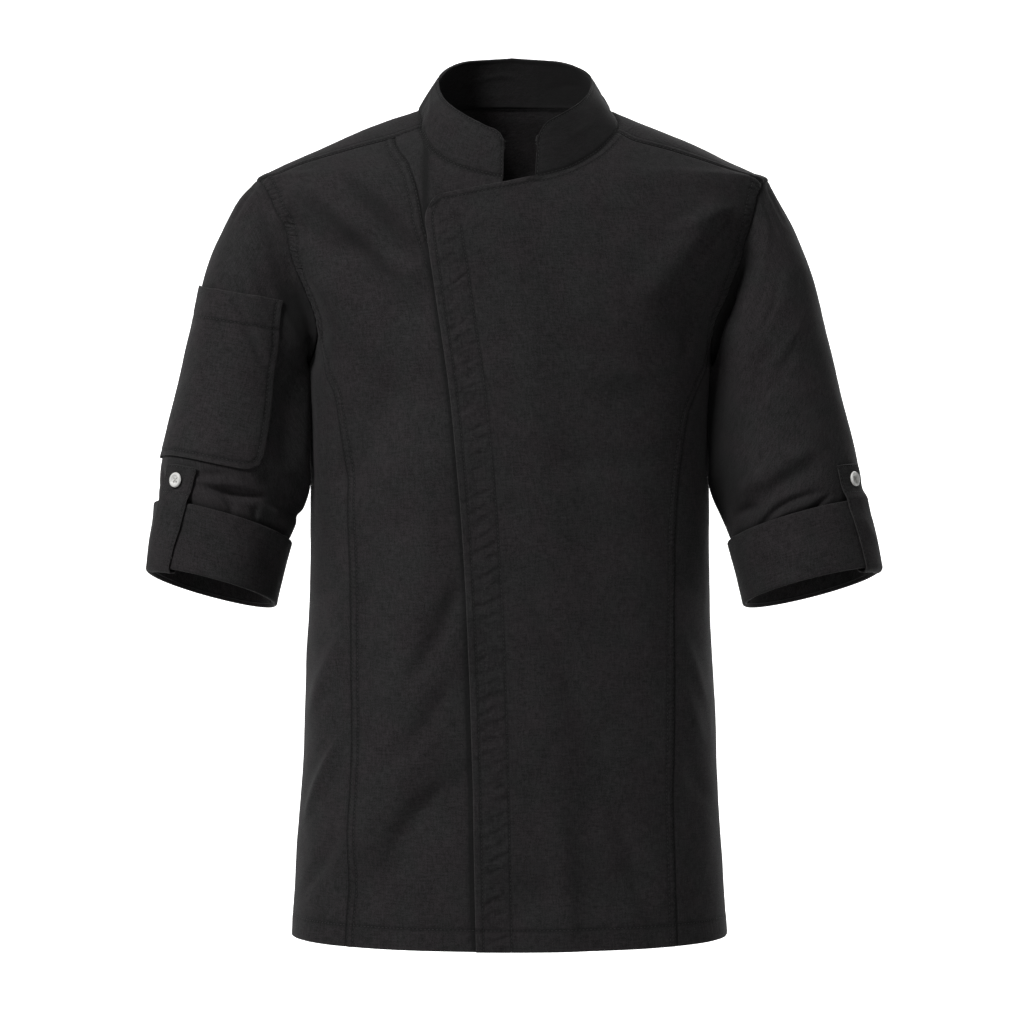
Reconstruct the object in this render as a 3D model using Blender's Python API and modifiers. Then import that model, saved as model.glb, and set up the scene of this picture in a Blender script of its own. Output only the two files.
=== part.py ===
"""A chef jacket in the form it has when worn, with nobody in it.

Metres, +Z up. The front faces -Y and the wearer's right is at -X. The origin is between the
wearer's shoulders, level with the point where neck meets shoulder.

Every panel lies on one of two forms. The torso is a stack of level rings, one for each height,
and a place on it is a turn round the body and a height. The turn is 0 at centre front, 90 at the
wearer's right side, 180 at centre back and 270 at the left side. A sleeve is a row of tilted
rings, and a place on it is a turn round the arm and a share of the way down it. That turn is 0 on
the outer side of the arm, 90 in front, 180 on the side against the body and 270 behind.
A panel is a patch stretched between four seam lines of such places, and its wall grows inward.
"""

import bmesh
import bpy
import numpy as np
from mathutils import Vector

# Driving sizes.
CLOTH = 0.0015
SEAM_GAP = 0.0003
HEM_Z = -0.740
SIDE_RIGHT = 90.0
SIDE_LEFT = 270.0

OVERLAP_CLEARANCE = 0.0010
OVERLAP_RAISE = OVERLAP_CLEARANCE + CLOTH
OVERLAP_RAISED_TO = 0.066
OVERLAP_FLAT_FROM = 0.110

ARMHOLE_TOP_Z = -0.064
UNDERARM_Z = -0.232
ARMHOLE_YOKE_FRONT = {"right": 14.0, "left": 22.0}
ARMHOLE_YOKE_BACK = 312.0
ARMHOLE_PRINCESS = {"right": 129.0, "left": 134.0}
SLEEVE_HEAD_LIFT = 0.0005
SLEEVE_HEAD_SCALE = 0.998
SLEEVE_HEAD_FADE = 0.22

COLLAR_WALL = 0.0022
COLLAR_CORNER = 0.014
COLLAR_END_RIGHT = 4.5
COLLAR_END_LEFT = 347.8
COLLAR_TOP_SHIFT_LEFT = -4.4
COLLAR_BOW = 0.0012
NECK_RADIUS = 0.092
NECK_EASE = 1.7
NECK_YOKE_RIGHT = 64.5
NECK_YOKE_LEFT = 293.0

ARM_RADIUS = 0.063
ARM_LENGTH = 0.330
CUFF_TOP = 0.825
CUFF_WALL = 0.0034
CUFF_CLEARANCE = 0.0005
SLEEVE_END = 0.992
SLEEVE_ROWS = [(0.0, 0.2, 4), (0.2, 0.6, 5), (0.6, CUFF_TOP, 6), (CUFF_TOP, SLEEVE_END, 2)]

TAB_WIDTH = 0.036
TAB_WALL = 0.0018
TAB_CLEARANCE = 0.0006
TAB_INNER_CLEARANCE = 0.0014
TAB_TOP = 0.728
TAB_INNER_END = 0.930
TAB_FOOT_RISE = 0.0022
TAB_CLIMB = 0.010
TAB_EASE = 0.0004
BUTTON_DOWN = 0.770
BUTTON_RADIUS = 0.00665
BUTTON_HEIGHT = 0.0030
BUTTON_CLEARANCE = 0.0002
POCKET_CLEARANCE = 0.0009

# Small steps for reading a form's slopes: degrees of turn, and metres or shares along it.
TURN_STEP = 0.05
LINE_STEP = 0.0004
RING_STEP = 0.02
MERGE = 0.00001

# Metres to a degree of turn, for sharing points out evenly along a seam line.
METRES_PER_DEGREE = 0.0025

# How many faces each stretch of a seam is cut into. Pieces that share a seam share its count.
WING_FACES = 4
NECK_FACES = 8
INSET_YOKE_FACES = 2
SHOULDER_FACES = 12
ROW_EASE = 1.5
INSET_HOLD = 3.0
PRINCESS_FACES = 15
ARMHOLE_FRONT_FACES = 7
ARMHOLE_SIDE_FACES = 5
ARMHOLE_BACK_FACES = 7
ARMHOLE_YOKE_FACES = 4
BACK_FACES = 14
COLLAR_ROWS = 4
TAB_FACES = 3
POCKET_FACES = 12
POCKET_ROWS = 10
CUFF_ROUND_FACES = 4
TAB_ROUND_FACES = 6

JACKET_COLOUR = (0.028, 0.027, 0.028)
BUTTON_COLOUR = (0.86, 0.86, 0.84)


class Table:
    """Named columns of numbers, read between their rows as smooth curves."""

    def __init__(self, columns, rows):
        self.columns = columns.split()
        self.rows = np.array(rows, float)

    def __call__(self, column, where):
        keys = self.rows[:, 0]
        values = self.rows[:, self.columns.index(column)]
        steps = np.diff(values) / np.diff(keys)
        both = steps[:-1] * steps[1:]
        total = np.where(both > 0, steps[:-1] + steps[1:], 1)
        slopes = np.concatenate([steps[:1], np.where(both > 0, 2 * both / total, 0), steps[-1:]])
        where = np.clip(where, keys[0], keys[-1])
        row = np.clip(np.searchsorted(keys, where, side="right") - 1, 0, len(keys) - 2)
        width = keys[row + 1] - keys[row]
        part = (where - keys[row]) / width
        start = (1 + 2 * part) * (1 - part) ** 2 * values[row]
        end = part**2 * (3 - 2 * part) * values[row + 1]
        leave = part * (1 - part) ** 2 * width * slopes[row]
        arrive = part**2 * (part - 1) * width * slopes[row + 1]
        return start + end + leave + arrive


# The torso's rings: half widths on the wearer's right and left, depths in front of and behind the
# arms, and the roundness of the outline, which is 2 on an ellipse and more on a squarer ring.
BODY = Table(
    "z right left front back roundness",
    [
        (-0.740, 0.1980, 0.1935, 0.130, 0.124, 2.2),
        (-0.657, 0.1926, 0.1880, 0.129, 0.120, 2.2),
        (-0.585, 0.1880, 0.1836, 0.128, 0.115, 2.2),
        (-0.495, 0.1845, 0.1800, 0.127, 0.110, 2.2),
        (-0.441, 0.1820, 0.1780, 0.127, 0.108, 2.2),
        (-0.333, 0.1810, 0.1770, 0.127, 0.112, 2.2),
        (-0.235, 0.1830, 0.1795, 0.124, 0.120, 2.2),
        (-0.200, 0.1910, 0.1900, 0.122, 0.122, 2.2),
        (-0.165, 0.2080, 0.2120, 0.118, 0.121, 2.2),
        (-0.136, 0.2210, 0.2250, 0.113, 0.118, 2.2),
        (-0.100, 0.2290, 0.2310, 0.105, 0.113, 2.1),
        (-0.075, 0.2315, 0.2325, 0.096, 0.108, 2.0),
        (-0.064, 0.2300, 0.2310, 0.089, 0.105, 2.0),
        (-0.0575, 0.2195, 0.2175, 0.083, 0.103, 2.0),
        (-0.0465, 0.1965, 0.1935, 0.074, 0.100, 2.0),
        (-0.034, 0.1675, 0.1680, 0.062, 0.095, 2.0),
        (-0.021, 0.1385, 0.1370, 0.048, 0.090, 2.0),
        (-0.010, 0.1110, 0.1090, 0.034, 0.085, 2.0),
        (0.000, 0.0850, 0.0890, 0.020, 0.080, 2.0),
        (0.012, 0.0780, 0.0820, 0.012, 0.075, 2.0),
        (0.020, 0.0740, 0.0780, 0.006, 0.071, 2.0),
    ],
)

# The seam between neckline and collar, by its turn from centre front on either side.
NECK = Table(
    "turn right left",
    [
        (0, -0.0715, -0.0715),
        (15, -0.0665, -0.0685),
        (30, -0.0590, -0.0615),
        (45, -0.0450, -0.0485),
        (60, -0.0260, -0.0320),
        (75, -0.0090, -0.0150),
        (90, 0.0000, 0.0000),
        (120, 0.0060, 0.0060),
        (150, 0.0105, 0.0105),
        (180, 0.0120, 0.0120),
    ],
)

# The collar's upper edge: half widths, depths and height by the turn from centre front.
COLLAR_HALF_WIDTH = {"right": 0.0665, "left": 0.0720}
COLLAR_DEPTH = {"front": 0.084, "back": 0.064}
COLLAR_EDGE = Table(
    "turn z",
    [
        (0, -0.0275),
        (10, -0.0265),
        (23, -0.0186),
        (37, -0.0090),
        (56, 0.0035),
        (81, 0.0205),
        (102, 0.0340),
        (128, 0.0470),
        (145, 0.0520),
        (180, 0.0560),
    ],
)

# The armhole, by its turn from the shoulder tip: degrees round the body from the side line.
ARMHOLE = Table(
    "turn right_front left_front back",
    [
        (0, 0.0, 0.0, 0.0),
        (14, 4.7, 4.7, 6.0),
        (36, 9.1, 8.6, 10.5),
        (50, 11.7, 10.4, 13.0),
        (65, 14.9, 12.4, 16.0),
        (82, 16.8, 14.0, 18.0),
        (102, 18.6, 15.6, 19.5),
        (116, 19.2, 15.6, 20.0),
        (129, 18.6, 14.6, 19.5),
        (143, 15.6, 12.0, 16.0),
        (160, 9.0, 7.5, 9.0),
        (180, 0.0, 0.0, 0.0),
    ],
)

# Seam lines of the fronts, from their lower end up, as seen from the front.
PRINCESS_RIGHT = [
    (-0.1450, -0.740),
    (-0.1405, -0.600),
    (-0.1405, -0.480),
    (-0.1430, -0.380),
    (-0.1485, -0.320),
    (-0.1550, -0.262),
    (-0.1650, -0.237),
]
PRINCESS_LEFT = [
    (0.1443, -0.740),
    (0.1424, -0.681),
    (0.1397, -0.577),
    (0.1390, -0.473),
    (0.1418, -0.404),
    (0.1462, -0.334),
    (0.1548, -0.278),
    (0.1635, -0.255),
    (0.1735, -0.229),
]
PLACKET_EDGE = [
    (-0.0306, -0.740),
    (-0.0345, -0.560),
    (-0.0413, -0.400),
    (-0.0512, -0.280),
    (-0.0677, -0.160),
    (-0.0735, -0.122),
    (-0.0748, -0.105),
]
WING_EDGE = [
    (-0.0695, -0.0920),
    (-0.0633, -0.0870),
    (-0.0484, -0.0838),
    (-0.0190, -0.0780),
    (-0.0078, -0.0762),
]
UNDER_SEAM = [
    (-0.0245, -0.740),
    (-0.0285, -0.560),
    (-0.0360, -0.400),
    (-0.0460, -0.280),
    (-0.0625, -0.160),
    (-0.0770, -0.111),
    (-0.0805, -0.091),
    (-0.0870, -0.067),
]
UNDERLAP_EDGE = [(0.028, -0.740), (0.014, -0.400), (-0.004, -0.200), (-0.012, -0.095)]
SHOULDER_SEAM_RIGHT = [
    (-0.1060, -0.0300),
    (-0.1328, -0.0370),
    (-0.1600, -0.0447),
    (-0.1875, -0.0526),
    (-0.2083, -0.0606),
]
SHOULDER_SEAM_LEFT = [
    (0.1037, -0.0309),
    (0.1375, -0.0405),
    (0.1649, -0.0487),
    (0.1922, -0.0569),
    (0.2110, -0.0618),
]

# The large folds of the torso: the two ends of each, half its width, and how far it stands out.
FOLDS = [
    ("front", (-0.190, -0.085), (-0.085, -0.150), 0.012, 0.0030),
    ("front", (-0.190, -0.110), (-0.090, -0.190), 0.014, -0.0028),
    ("front", (-0.150, -0.130), (-0.085, -0.135), 0.012, -0.0020),
    ("front", (-0.105, -0.260), (-0.140, -0.330), 0.020, -0.0032),
    ("front", (-0.075, -0.330), (-0.095, -0.520), 0.026, 0.0032),
    ("front", (-0.060, -0.480), (-0.120, -0.640), 0.026, 0.0030),
    ("front", (-0.045, -0.600), (-0.125, -0.690), 0.020, -0.0030),
    ("front", (0.200, -0.125), (0.150, -0.200), 0.014, -0.0026),
    ("front", (0.175, -0.100), (0.120, -0.170), 0.014, 0.0024),
    ("front", (0.020, -0.690), (0.085, -0.690), 0.022, -0.0026),
    ("front", (0.110, -0.420), (0.150, -0.560), 0.026, 0.0026),
    ("front", (0.080, -0.560), (0.060, -0.660), 0.026, -0.0022),
    ("back", (-0.130, -0.160), (-0.060, -0.240), 0.018, -0.0028),
    ("back", (0.135, -0.150), (0.070, -0.240), 0.018, -0.0028),
    ("back", (-0.100, -0.330), (0.010, -0.400), 0.022, 0.0030),
    ("back", (0.105, -0.350), (0.030, -0.430), 0.022, 0.0030),
    ("back", (-0.110, -0.470), (-0.080, -0.660), 0.028, -0.0032),
    ("back", (0.090, -0.480), (0.105, -0.680), 0.028, -0.0032),
    ("back", (0.000, -0.520), (0.010, -0.700), 0.032, 0.0034),
]

# The sleeves, by the share of the way down: the ends of each ring on the outer side of the arm and
# against the body, as distances from the middle of the body on the wearer's right and left, then
# the ring's middle, half depth and forward lean in degrees.
ARM = Table(
    "down right_outer left_outer outer_z right_inner left_inner inner_z middle_y half_depth lean",
    [
        (0.00, 0.2305, 0.2310, -0.064, 0.1840, 0.1800, -0.232, 0.001, 0.060, 0.0),
        (0.07, 0.2470, 0.2405, -0.082, 0.1850, 0.1810, -0.236, 0.000, 0.062, 0.0),
        (0.15, 0.2630, 0.2563, -0.114, 0.1852, 0.1812, -0.241, -0.001, 0.064, 1.0),
        (0.25, 0.2765, 0.2698, -0.152, 0.1852, 0.1812, -0.250, -0.003, 0.065, 3.0),
        (0.38, 0.2865, 0.2818, -0.202, 0.1852, 0.1812, -0.267, -0.007, 0.065, 5.0),
        (0.52, 0.2975, 0.2935, -0.252, 0.1852, 0.1812, -0.293, -0.012, 0.065, 7.0),
        (0.65, 0.3085, 0.3042, -0.299, 0.1862, 0.1822, -0.333, -0.018, 0.065, 8.5),
        (0.75, 0.3140, 0.3100, -0.330, 0.1930, 0.1890, -0.363, -0.023, 0.063, 9.5),
        (0.83, 0.3150, 0.3125, -0.357, 0.2000, 0.1960, -0.389, -0.027, 0.061, 10.0),
        (0.92, 0.3185, 0.3190, -0.387, 0.2070, 0.2030, -0.416, -0.031, 0.061, 10.3),
        (1.00, 0.3215, 0.3235, -0.4155, 0.2130, 0.2090, -0.4435, -0.035, 0.061, 10.5),
    ],
)
SLEEVE_ROUNDNESS = 2.1

# The large folds of the sleeves: two ends, each a turn and a share of the way down, half the
# width, and how far the fold stands out.
SLEEVE_FOLDS = {
    "right": [
        ((126, 0.705), (160, 0.745), 0.009, -0.0035),
        ((92, 0.745), (125, 0.780), 0.008, 0.0025),
        ((137, 0.350), (137, 0.620), 0.012, -0.0030),
        ((250, 0.690), (320, 0.740), 0.010, -0.0035),
    ],
    "left": [
        ((80, 0.720), (140, 0.780), 0.009, -0.0035),
        ((80, 0.670), (130, 0.715), 0.009, 0.0028),
        ((100, 0.350), (125, 0.600), 0.012, -0.0024),
        ((240, 0.700), (310, 0.740), 0.010, -0.0035),
    ],
}

# The pocket's edges on the right sleeve, as turns round the arm and shares of the way down. They
# meet halfway round its lower corners.
POCKET_TOP = [(-12, 0.272), (28, 0.268), (56, 0.238), (74.5, 0.195), (89, 0.140), (99, 0.095)]
POCKET_FOOT = [
    (-9, 0.690),
    (2, 0.701),
    (40, 0.703),
    (72, 0.705),
    (100, 0.699),
    (108.5, 0.690),
    (114.5, 0.672),
]
POCKET_BACK = [(-9, 0.690), (-12, 0.660), (-12, 0.272)]
POCKET_FRONT = [
    (114.5, 0.672),
    (117, 0.645),
    (118.5, 0.598),
    (120, 0.497),
    (119, 0.357),
    (119.5, 0.225),
    (99, 0.095),
]

# Each tab: the turn of its middle at the buttoned end and where it goes under the cuff.
TAB_TURNS = {"right": (53.5, 42.5), "left": (39.5, 31.0)}


def signed_power(value, power):
    return np.sign(value) * np.abs(value) ** power


def side_of(turn):
    return np.mod(turn, 360) < 180


def body(turn, z):
    """The smooth torso, with no folds, as points in rows of x, y and z."""
    turn, z = np.broadcast_arrays(np.asarray(turn, float), np.asarray(z, float))
    angle = np.radians(turn)
    across = np.where(side_of(turn), BODY("right", z), BODY("left", z))
    deep = np.where(np.cos(angle) > 0, BODY("front", z), BODY("back", z))
    power = BODY("roundness", z)
    outline = np.abs(np.sin(angle) / across) ** power + np.abs(np.cos(angle) / deep) ** power
    radius = outline ** (-1 / power)
    return np.stack([-radius * np.sin(angle), -radius * np.cos(angle), z], axis=-1)


def outward(surface, first, second):
    """The unit normals of a surface of two coordinates, by small steps along each."""
    step_first = surface(first + TURN_STEP, second) - surface(first - TURN_STEP, second)
    step_second = surface(first, second + LINE_STEP) - surface(first, second - LINE_STEP)
    normal = np.cross(step_second, step_first)
    return normal / np.linalg.norm(normal, axis=-1, keepdims=True)


def ridge(across, start, end, half_width):
    """1 along a line between two places and less to its sides, for places in rows of two."""
    start, end = np.array(start), np.array(end)
    run = end - start
    along = np.clip(((across - start) @ run) / (run @ run), 0, 1)
    away = np.linalg.norm(across - start - along[..., None] * run, axis=-1)
    return np.exp(-((away / half_width) ** 2))


def relief(points):
    """How far the folds move each point of the torso outward."""
    height = np.zeros(points.shape[:-1])
    for face, start, end, half_width, stands_out in FOLDS:
        here = points[..., 1] < 0 if face == "front" else points[..., 1] >= 0
        seen = points[..., [0, 2]]
        height += here * stands_out * ridge(seen, start, end, half_width)
    return height


def torso(turn, z, raised=0.0):
    """Points of the folded torso, moved out from it by `raised`."""
    smooth = body(turn, z)
    out = relief(smooth) + raised
    return smooth + outward(body, turn, z) * out[..., None]


def place_in_front(x, z):
    """The turn at which the torso's front has a given x, with the height."""
    x, z = np.asarray(x, float), np.asarray(z, float)
    across = np.where(x < 0, BODY("right", z), BODY("left", z))
    power = BODY("roundness", z)
    depth = BODY("front", z) * (1 - np.abs(x / across) ** power) ** (1 / power)
    return np.stack([np.degrees(np.arctan2(-x, depth)), z], axis=-1)


def neck_place(turn):
    """The neckline's place at a turn."""
    turn = np.asarray(turn, float)
    from_front = 180 - np.abs(np.mod(turn, 360) - 180)
    z = np.where(side_of(turn), NECK("right", from_front), NECK("left", from_front))
    return np.stack([turn, z], axis=-1)


def armhole_place(side, turn, scale=1.0):
    """The armhole's place at a turn from the shoulder tip. A scale under 1 is inside the edge."""
    turn = np.asarray(turn, float)
    from_top = 180 - np.abs(np.mod(turn, 360) - 180)
    in_front = np.mod(turn, 360) < 180
    middle = (ARMHOLE_TOP_Z + UNDERARM_Z) / 2
    half = (ARMHOLE_TOP_Z - UNDERARM_Z) / 2
    z = middle + half * np.cos(np.radians(turn)) * scale
    round_front = ARMHOLE(side + "_front", from_top)
    aside = np.where(in_front, round_front, -ARMHOLE("back", from_top)) * scale
    body_turn = SIDE_RIGHT - aside if side == "right" else SIDE_LEFT + aside
    return np.stack([body_turn, z], axis=-1)


def curve_through(places, faces, ease=1.0):
    """A smooth line through places, cut into faces. An ease over 1 shortens those near its end."""
    places = np.array(places, float)
    scale = np.array([METRES_PER_DEGREE, 1.0])
    run = np.concatenate([[0], np.cumsum(np.linalg.norm(np.diff(places, axis=0) * scale, axis=1))])
    line = Table("along turn z", np.column_stack([run, places]))
    along = run[-1] * (1 - np.linspace(1, 0, faces + 1) ** ease)
    return np.column_stack([line("turn", along), line("z", along)])


def in_step(line):
    """The same line with no jump of a whole turn in it."""
    return np.column_stack([np.unwrap(line[:, 0], period=360), line[:, 1]])


def front_curve(points, faces, end=None, ease=1.0):
    """A seam line of the fronts through points seen from the front, up to a given place."""
    places = [place_in_front(x, z) for x, z in points]
    if end is not None:
        places.append(end)
    return curve_through(in_step(np.array(places)), faces, ease)


def join(*lines):
    """One line from several that follow each other."""
    return in_step(np.concatenate([lines[0]] + [line[1:] for line in lines[1:]]))


def neck_front(end, yoke):
    """The neckline from a collar end back to the yoke, with shorter faces near the end."""
    return neck_place(end + (yoke - end) * np.linspace(0, 1, NECK_FACES + 1) ** NECK_EASE)


def armhole_line(side, start, end, faces):
    return armhole_place(side, np.linspace(start, end, faces + 1))


def straight(start, end, faces):
    ends = in_step(np.array([start, end], float))
    part = np.linspace(0, 1, faces + 1)[:, None]
    return (1 - part) * ends[0] + part * ends[1]


def beside(line, place):
    """The same line, moved by whole turns so that it starts at this place."""
    return line + (360 * np.round((place[0] - line[0, 0]) / 360), 0)


def patch(lower, upper, first, last, hold=1.0):
    """A grid of places stretched between four lines that meet at their ends.

    A hold over 1 keeps the upper line's shape to the rows near it.
    """
    first, last = beside(first, lower[0]), beside(last, lower[-1])
    upper = beside(upper, first[-1])
    across = np.linspace(0, 1, len(lower))[None, :, None]
    up = np.linspace(0, 1, len(first))[:, None, None] ** hold
    from_below = (1 - up) * lower[None] + up * upper[None]
    from_sides = (1 - across) * first[:, None] + across * last[:, None]
    low = (1 - across) * lower[0] + across * lower[-1]
    high = (1 - across) * upper[0] + across * upper[-1]
    return from_below + from_sides - (1 - up) * low - up * high


def trim(grid):
    """Draws a panel's border in by half of the gap that its seams keep."""
    turn, z = grid[..., 0], grid[..., 1]
    points = body(turn, z)
    by_turn = (body(turn + TURN_STEP, z) - body(turn - TURN_STEP, z)) / (2 * TURN_STEP)
    by_z = (body(turn, z + LINE_STEP) - body(turn, z - LINE_STEP)) / (2 * LINE_STEP)
    both = np.stack([by_turn, by_z], axis=-1)
    trimmed = grid.copy()
    for edge, near in (
        ((0, slice(None)), (1, slice(None))),
        ((-1, slice(None)), (-2, slice(None))),
        ((slice(None), 0), (slice(None), 1)),
        ((slice(None), -1), (slice(None), -2)),
    ):
        along = np.gradient(points[edge], axis=0)
        along /= np.linalg.norm(along, axis=-1, keepdims=True)
        inward = points[near] - points[edge]
        inward -= along * (inward * along).sum(axis=-1, keepdims=True)
        inward *= SEAM_GAP / 2 / np.linalg.norm(inward, axis=-1, keepdims=True)
        trimmed[edge] += (np.linalg.pinv(both[edge]) @ inward[..., None])[..., 0]
    return trimmed


def material(name, colour, roughness):
    made = bpy.data.materials.new(name)
    made.use_nodes = True
    shader = made.node_tree.nodes["Principled BSDF"]
    shader.inputs["Base Color"].default_value = (*colour, 1)
    shader.inputs["Roughness"].default_value = roughness
    shader.inputs["Metallic"].default_value = 0.0
    return made


def add_object(name, mesh, colour=JACKET_COLOUR, roughness=0.85):
    """Makes the object of a finished bmesh, in the jacket's collection."""
    data = bpy.data.meshes.new(name)
    mesh.to_mesh(data)
    mesh.free()
    data.materials.append(material(name, colour, roughness))
    data.shade_smooth()
    data.set_sharp_from_angle(angle=np.radians(40))
    made = bpy.data.objects.new(name, data)
    bpy.data.collections["chef_jacket"].objects.link(made)
    return made


def add_cloth(name, outer, inner, tube=False):
    """A cloth wall between two grids of points. A tube's first and last columns are one seam."""
    rows, columns = outer.shape[0] - 1, outer.shape[1] - 1
    mesh = bmesh.new()
    bmesh.ops.create_grid(mesh, x_segments=columns, y_segments=rows, size=0.5)
    row_of = mesh.verts.layers.int.new("row")
    column_of = mesh.verts.layers.int.new("column")
    for vert in mesh.verts:
        vert[row_of] = round((vert.co.y + 0.5) * rows)
        vert[column_of] = round((vert.co.x + 0.5) * columns)
        vert.co = outer[vert[row_of], vert[column_of]]
    if tube:
        bmesh.ops.remove_doubles(mesh, verts=mesh.verts[:], dist=MERGE)
    grown = bmesh.ops.extrude_face_region(mesh, geom=mesh.faces[:], use_keep_orig=True)
    for item in grown["geom"]:
        if isinstance(item, bmesh.types.BMVert):
            item.co = inner[item[row_of], item[column_of]]
    bmesh.ops.recalc_face_normals(mesh, faces=mesh.faces[:])
    return add_object(name, mesh)


def add_panel(name, lower, upper, first, last, raised=None, hold=1.0):
    """A panel of the torso between its four seam lines."""
    places = trim(patch(lower, upper, first, last, hold))
    turn, z = places[..., 0], places[..., 1]
    out = np.zeros(turn.shape) if raised is None else raised(places)
    return add_cloth(name, torso(turn, z, out), torso(turn, z, out - CLOTH))


def overlap_raise(places):
    """The left front lies on the right front near its edge and comes down to the body beyond."""
    edge = np.array(PLACKET_EDGE)
    edge_x = np.interp(places[..., 1], edge[:, 1], edge[:, 0])
    x = body(places[..., 0], places[..., 1])[..., 0]
    part = np.clip((x - edge_x - OVERLAP_RAISED_TO) / (OVERLAP_FLAT_FROM - OVERLAP_RAISED_TO), 0, 1)
    return OVERLAP_RAISE * (1 - part * part * (3 - 2 * part))


def hem(start, end, faces):
    return straight((start, HEM_Z), (end, HEM_Z), faces)


def build_fronts():
    """The overlap, the right front in two pieces, and the two side fronts."""
    front_rows = PRINCESS_FACES + ARMHOLE_FRONT_FACES
    starts = {side: armhole_place(side, ARMHOLE_PRINCESS[side]) for side in ("right", "left")}
    princess = {
        "right": front_curve(PRINCESS_RIGHT, PRINCESS_FACES, end=starts["right"]),
        "left": front_curve(PRINCESS_LEFT, PRINCESS_FACES, end=starts["left"]),
    }
    armhole = {
        side: armhole_line(side, ARMHOLE_PRINCESS[side], ARMHOLE_YOKE_FRONT[side], ARMHOLE_FRONT_FACES)
        for side in ("right", "left")
    }
    underarm = {
        side: armhole_line(side, ARMHOLE_PRINCESS[side], 180, ARMHOLE_SIDE_FACES)
        for side in ("right", "left")
    }

    edge = front_curve(PLACKET_EDGE, front_rows, place_in_front(*WING_EDGE[0]), ROW_EASE)
    wing = front_curve(WING_EDGE, WING_FACES, end=neck_place(COLLAR_END_LEFT))
    upper = join(wing, neck_front(COLLAR_END_LEFT, NECK_YOKE_LEFT), shoulder_seam("left"))
    outer = join(princess["left"], armhole["left"])
    lower = hem(edge[0, 0], outer[0, 0], len(upper) - 1)
    add_panel("front_left_overlap", lower, upper, edge, outer, overlap_raise)

    seam_right = shoulder_seam("right")
    under_top = seam_right[INSET_YOKE_FACES]
    inset_seam = front_curve(UNDER_SEAM, front_rows, under_top, ROW_EASE)
    outer = join(princess["right"], armhole["right"])
    upper = seam_right[INSET_YOKE_FACES:]
    lower = hem(inset_seam[0, 0], outer[0, 0], len(upper) - 1)
    add_panel("front_right_under", lower, upper, inset_seam, outer)

    neck_right = neck_front(COLLAR_END_RIGHT, NECK_YOKE_RIGHT)
    upper = join(neck_right, seam_right[: INSET_YOKE_FACES + 1])
    edge = front_curve(UNDERLAP_EDGE, front_rows, neck_right[0], ROW_EASE)
    lower = hem(edge[0, 0], inset_seam[0, 0], len(upper) - 1)
    add_panel("front_right_inset", lower, upper, edge, inset_seam, hold=INSET_HOLD)

    for side, side_turn in (("right", SIDE_RIGHT), ("left", SIDE_LEFT)):
        seam = straight((side_turn, HEM_Z), (side_turn, UNDERARM_Z), PRINCESS_FACES)
        lower = hem(princess[side][0, 0], side_turn, ARMHOLE_SIDE_FACES)
        add_panel("side_front_" + side, lower, underarm[side], princess[side], seam)


def shoulder_seam(side):
    """The forward shoulder seam, from the neckline out to the armhole."""
    neck = neck_place(NECK_YOKE_RIGHT if side == "right" else NECK_YOKE_LEFT)
    points = SHOULDER_SEAM_RIGHT if side == "right" else SHOULDER_SEAM_LEFT
    places = np.array([place_in_front(x, z) for x, z in points])
    places[:, 0] = np.mod(places[:, 0], 360)
    tip = armhole_place(side, ARMHOLE_YOKE_FRONT[side])
    return curve_through([neck, *places, tip], SHOULDER_FACES)


def back_seam():
    start = armhole_place("right", ARMHOLE_YOKE_BACK)
    end = armhole_place("left", ARMHOLE_YOKE_BACK)
    return straight(start, end, BACK_FACES)


def build_back():
    first = join(
        straight((SIDE_RIGHT, HEM_Z), (SIDE_RIGHT, UNDERARM_Z), PRINCESS_FACES),
        armhole_line("right", 180, ARMHOLE_YOKE_BACK, ARMHOLE_BACK_FACES),
    )
    last = join(
        straight((SIDE_LEFT, HEM_Z), (SIDE_LEFT, UNDERARM_Z), PRINCESS_FACES),
        armhole_line("left", 180, ARMHOLE_YOKE_BACK, ARMHOLE_BACK_FACES),
    )
    add_panel("back", hem(SIDE_RIGHT, SIDE_LEFT, BACK_FACES), back_seam(), first, last)


def build_yoke():
    over = {
        side: armhole_line(side, 360 + ARMHOLE_YOKE_FRONT[side], ARMHOLE_YOKE_BACK, ARMHOLE_YOKE_FACES)
        for side in ("right", "left")
    }
    outer = join(over["right"], back_seam(), over["left"][::-1])
    neck = neck_place(np.linspace(NECK_YOKE_RIGHT, NECK_YOKE_LEFT, len(outer)))
    right = shoulder_seam("right")[::-1]
    left = shoulder_seam("left")[::-1]
    add_panel("yoke", outer, neck, right, left)


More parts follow.
